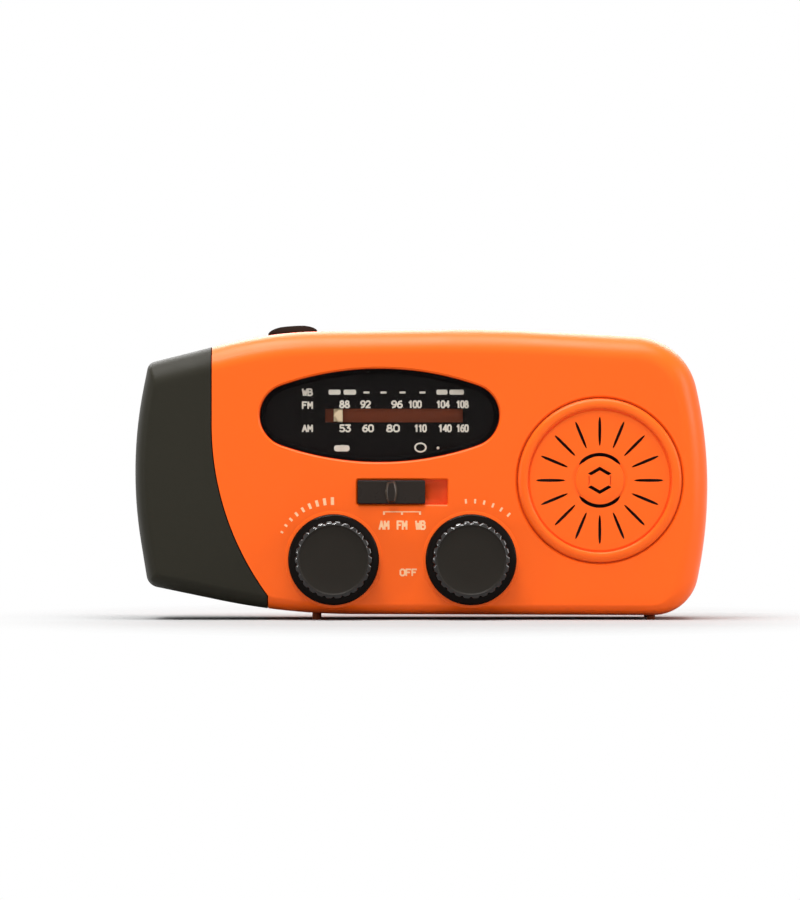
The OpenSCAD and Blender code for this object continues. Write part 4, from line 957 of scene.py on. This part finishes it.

# black print round the back of the dial window, which hides the shell's ledge; it is made darker than the dial plate
# as painted shade, so that its lit rim looks as dark as the plate further back
border = prism("dial_window_border", lens_shape(0.16), Y_FRONT + 1.5, Y_FRONT + 1.46)
cut(border, prism("tool", lens_shape(WINDOW_LEDGE + 0.05), Y_FRONT + 1, Y_FRONT + 2))
dress(border, BORDER, "dial_window", "housing")
lamp_place = on_front(DIAL_LAMP_AT, DIAL_Y)
# the ring round the dial lamp uses the same black, darker than the plate as painted shade
lamp_mask = lathe("dial_lamp_mask", [(0.32, 0), (0.32, 0.03), (0.95, 0.03), (0.95, 0), (0.32, 0)], lamp_place, 32)
dress(lamp_mask, BORDER, "dial_plate", "housing")
lamp_tip = lathe("dial_lamp_tip", [(0, -0.2), (0.31, -0.2), (0.31, 0.02), (0.22, 0.1), (0, 0.13)], lamp_place, 24)
dress(lamp_tip, LAMP, "indicator_leds", "housing")

# pointer: an arrow-shaped head on the carriage that runs on the rail
HEAD_X, HEAD_Z = (POINTER_X - 1.0, POINTER_X + 1.0), (RAIL_Z[0] + 0.2, RAIL_Z[1] - 0.2)


def pointer_shape(e):
    (x0, x1), (z0, z1) = HEAD_X, HEAD_Z
    return [(x0 + e * 1.6, (z0 + z1) / 2), (x0 + 0.95 + e * 0.6, z1 - e), (x1 - e, z1 - e), (x1 - e, z0 + e),
            (x0 + 0.95 + e * 0.6, z0 + e)]


arrow = layered("dial_pointer_head", [(Y_FRONT + 3.3, pointer_shape(0)), (Y_FRONT + 2.4, pointer_shape(0)),
                                      (Y_FRONT + 2.15, pointer_shape(0.22))])
blade = box("blade", HEAD_X, (Y_FRONT + 2.8, Y_FRONT + 3.3), (RAIL_Z[0] + 0.4, RAIL_Z[1] + 1.4))
hook = box("hook", HEAD_X, (Y_FRONT + 2.8, Y_FRONT + 5.9), (RAIL_Z[1] + 0.3, RAIL_Z[1] + 1.4))
runner = box("runner", (POINTER_X - 2, POINTER_X + 2), (Y_FRONT + 4.5, Y_FRONT + 5.9),
             (RAIL_Z[1] - 1.9, RAIL_Z[1] + 1.4))
pointer = join("dial_pointer_carriage", [arrow, blade, hook, runner])
dress(pointer, POINTER, "dial_pointer", "pointer", "dial_pointer")

# ---------------------------------------------------------------- solar cells: a busbar and fine fingers in each
CELLS, FINGERS, CELL_EDGE = 8, 13, 0.8
CELL_H, BUSBAR_HALF, FINGER_HALF = -1.37, 0.22, 0.03
x0, x1, y0, y1 = SOLAR_X[0] + CELL_EDGE, SOLAR_X[1] - CELL_EDGE, SOLAR_Y[0] + CELL_EDGE, SOLAR_Y[1] - CELL_EDGE
step = (x1 - x0) / CELLS
bm = bmesh.new()
for k in range(CELLS):
    a, b = x0 + k * step, x0 + (k + 1) * step
    mid = (a + b) / 2
    block(bm, SOLAR_PLACE, corners_of(mid - BUSBAR_HALF, mid + BUSBAR_HALF, y0, y1), CELL_H, -1.33)
    for i in range(FINGERS):
        y = y0 + (y1 - y0) * (i + 0.5) / FINGERS
        block(bm, SOLAR_PLACE, corners_of(a + 0.3, b - 0.3, y - FINGER_HALF, y + FINGER_HALF), CELL_H, -1.335)
dress(new_object("solar_busbars", bm), BUSBAR, "solar_panel", "housing")

# ---------------------------------------------------------------- crank screw, port cover's ribs, turning arrows
screw = lathe("crank_screw_head", [(0.9, -6), (0.9, -1.2), (3, -1.2), (3, -0.5), (2.9, -0.32), (2.6, -0.2),
                                   (1.6, -0.1), (0, -0.06)], on_back(CRANK_AT, ARM_TOP), 64)
CROSS_LONG, CROSS_WIDE = 1.75, 0.36
for wide, high in ((CROSS_LONG, CROSS_WIDE), (CROSS_WIDE, CROSS_LONG)):
    cut(screw, box("tool", (CRANK_AT[0] - wide, CRANK_AT[0] + wide), (ARM_TOP - 0.8, ARM_TOP + 1),
                   (CRANK_AT[1] - high, CRANK_AT[1] + high)))
shade(screw)
dress(screw, STEEL, "crank_screw", "crank", "crank_screw")

RIB_X, RIB_HIGH = (45.4, 54.4), 0.55
ribs = [layered("port_cover_ribs", [(Y_REAR - 0.1, rect(RIB_X, (z, z + RIB_HIGH), 0.2)),
                                    (Y_REAR + 0.18, rect(RIB_X, (z, z + RIB_HIGH), 0.2)),
                                    (Y_REAR + 0.28, shrunk(RIB_X, (z, z + RIB_HIGH), 0.1, 0.15))])
        for z in (31.0, 32.2, 33.4, 34.6)]
dress(join("port_cover_ribs", ribs), RUBBER, "port_cover", "flap")

ARROW_IN, ARROW_OUT, ARROW_STEPS, ARROW_STEP = 12.4, 13.4, 14, 4
bm = bmesh.new()
for a in (52, 232):
    turns = [a + ARROW_STEP * k for k in range(ARROW_STEPS)]
    shaft = [at_angle(ARROW_IN, q) for q in turns] + [at_angle(ARROW_OUT, q) for q in turns[::-1]]
    block(bm, on_back(CRANK_AT), shaft, -0.1, 0.3)
    tip = [at_angle(r, a + more) for r, more in ((11.5, 53), (14.3, 53), (12.8, 65))]
    block(bm, on_back(CRANK_AT), tip, -0.1, 0.33)
dress(new_object("crank_arrows", bm), ORANGE, "rear_shell", "housing")

# ---------------------------------------------------------------- softened edges of carried-over nodes
for width, nodes in ((0.1, ("usb_a_port", "micro_usb_port")), (0.12, ("crank_bearing",)),
                     (0.15, ("case_screws", "dial_window")), (0.2, ("antenna_tube_1", "feet", "crank_grip")),
                     (0.25, ("solar_window", "port_cover", "grip_yoke", "torch_lens")), (0.3, ("antenna_base",)),
                     (0.5, ("antenna_tube_5",)), (0.7, ("crank_arm",))):
    for node in nodes:
        soften(node, width)
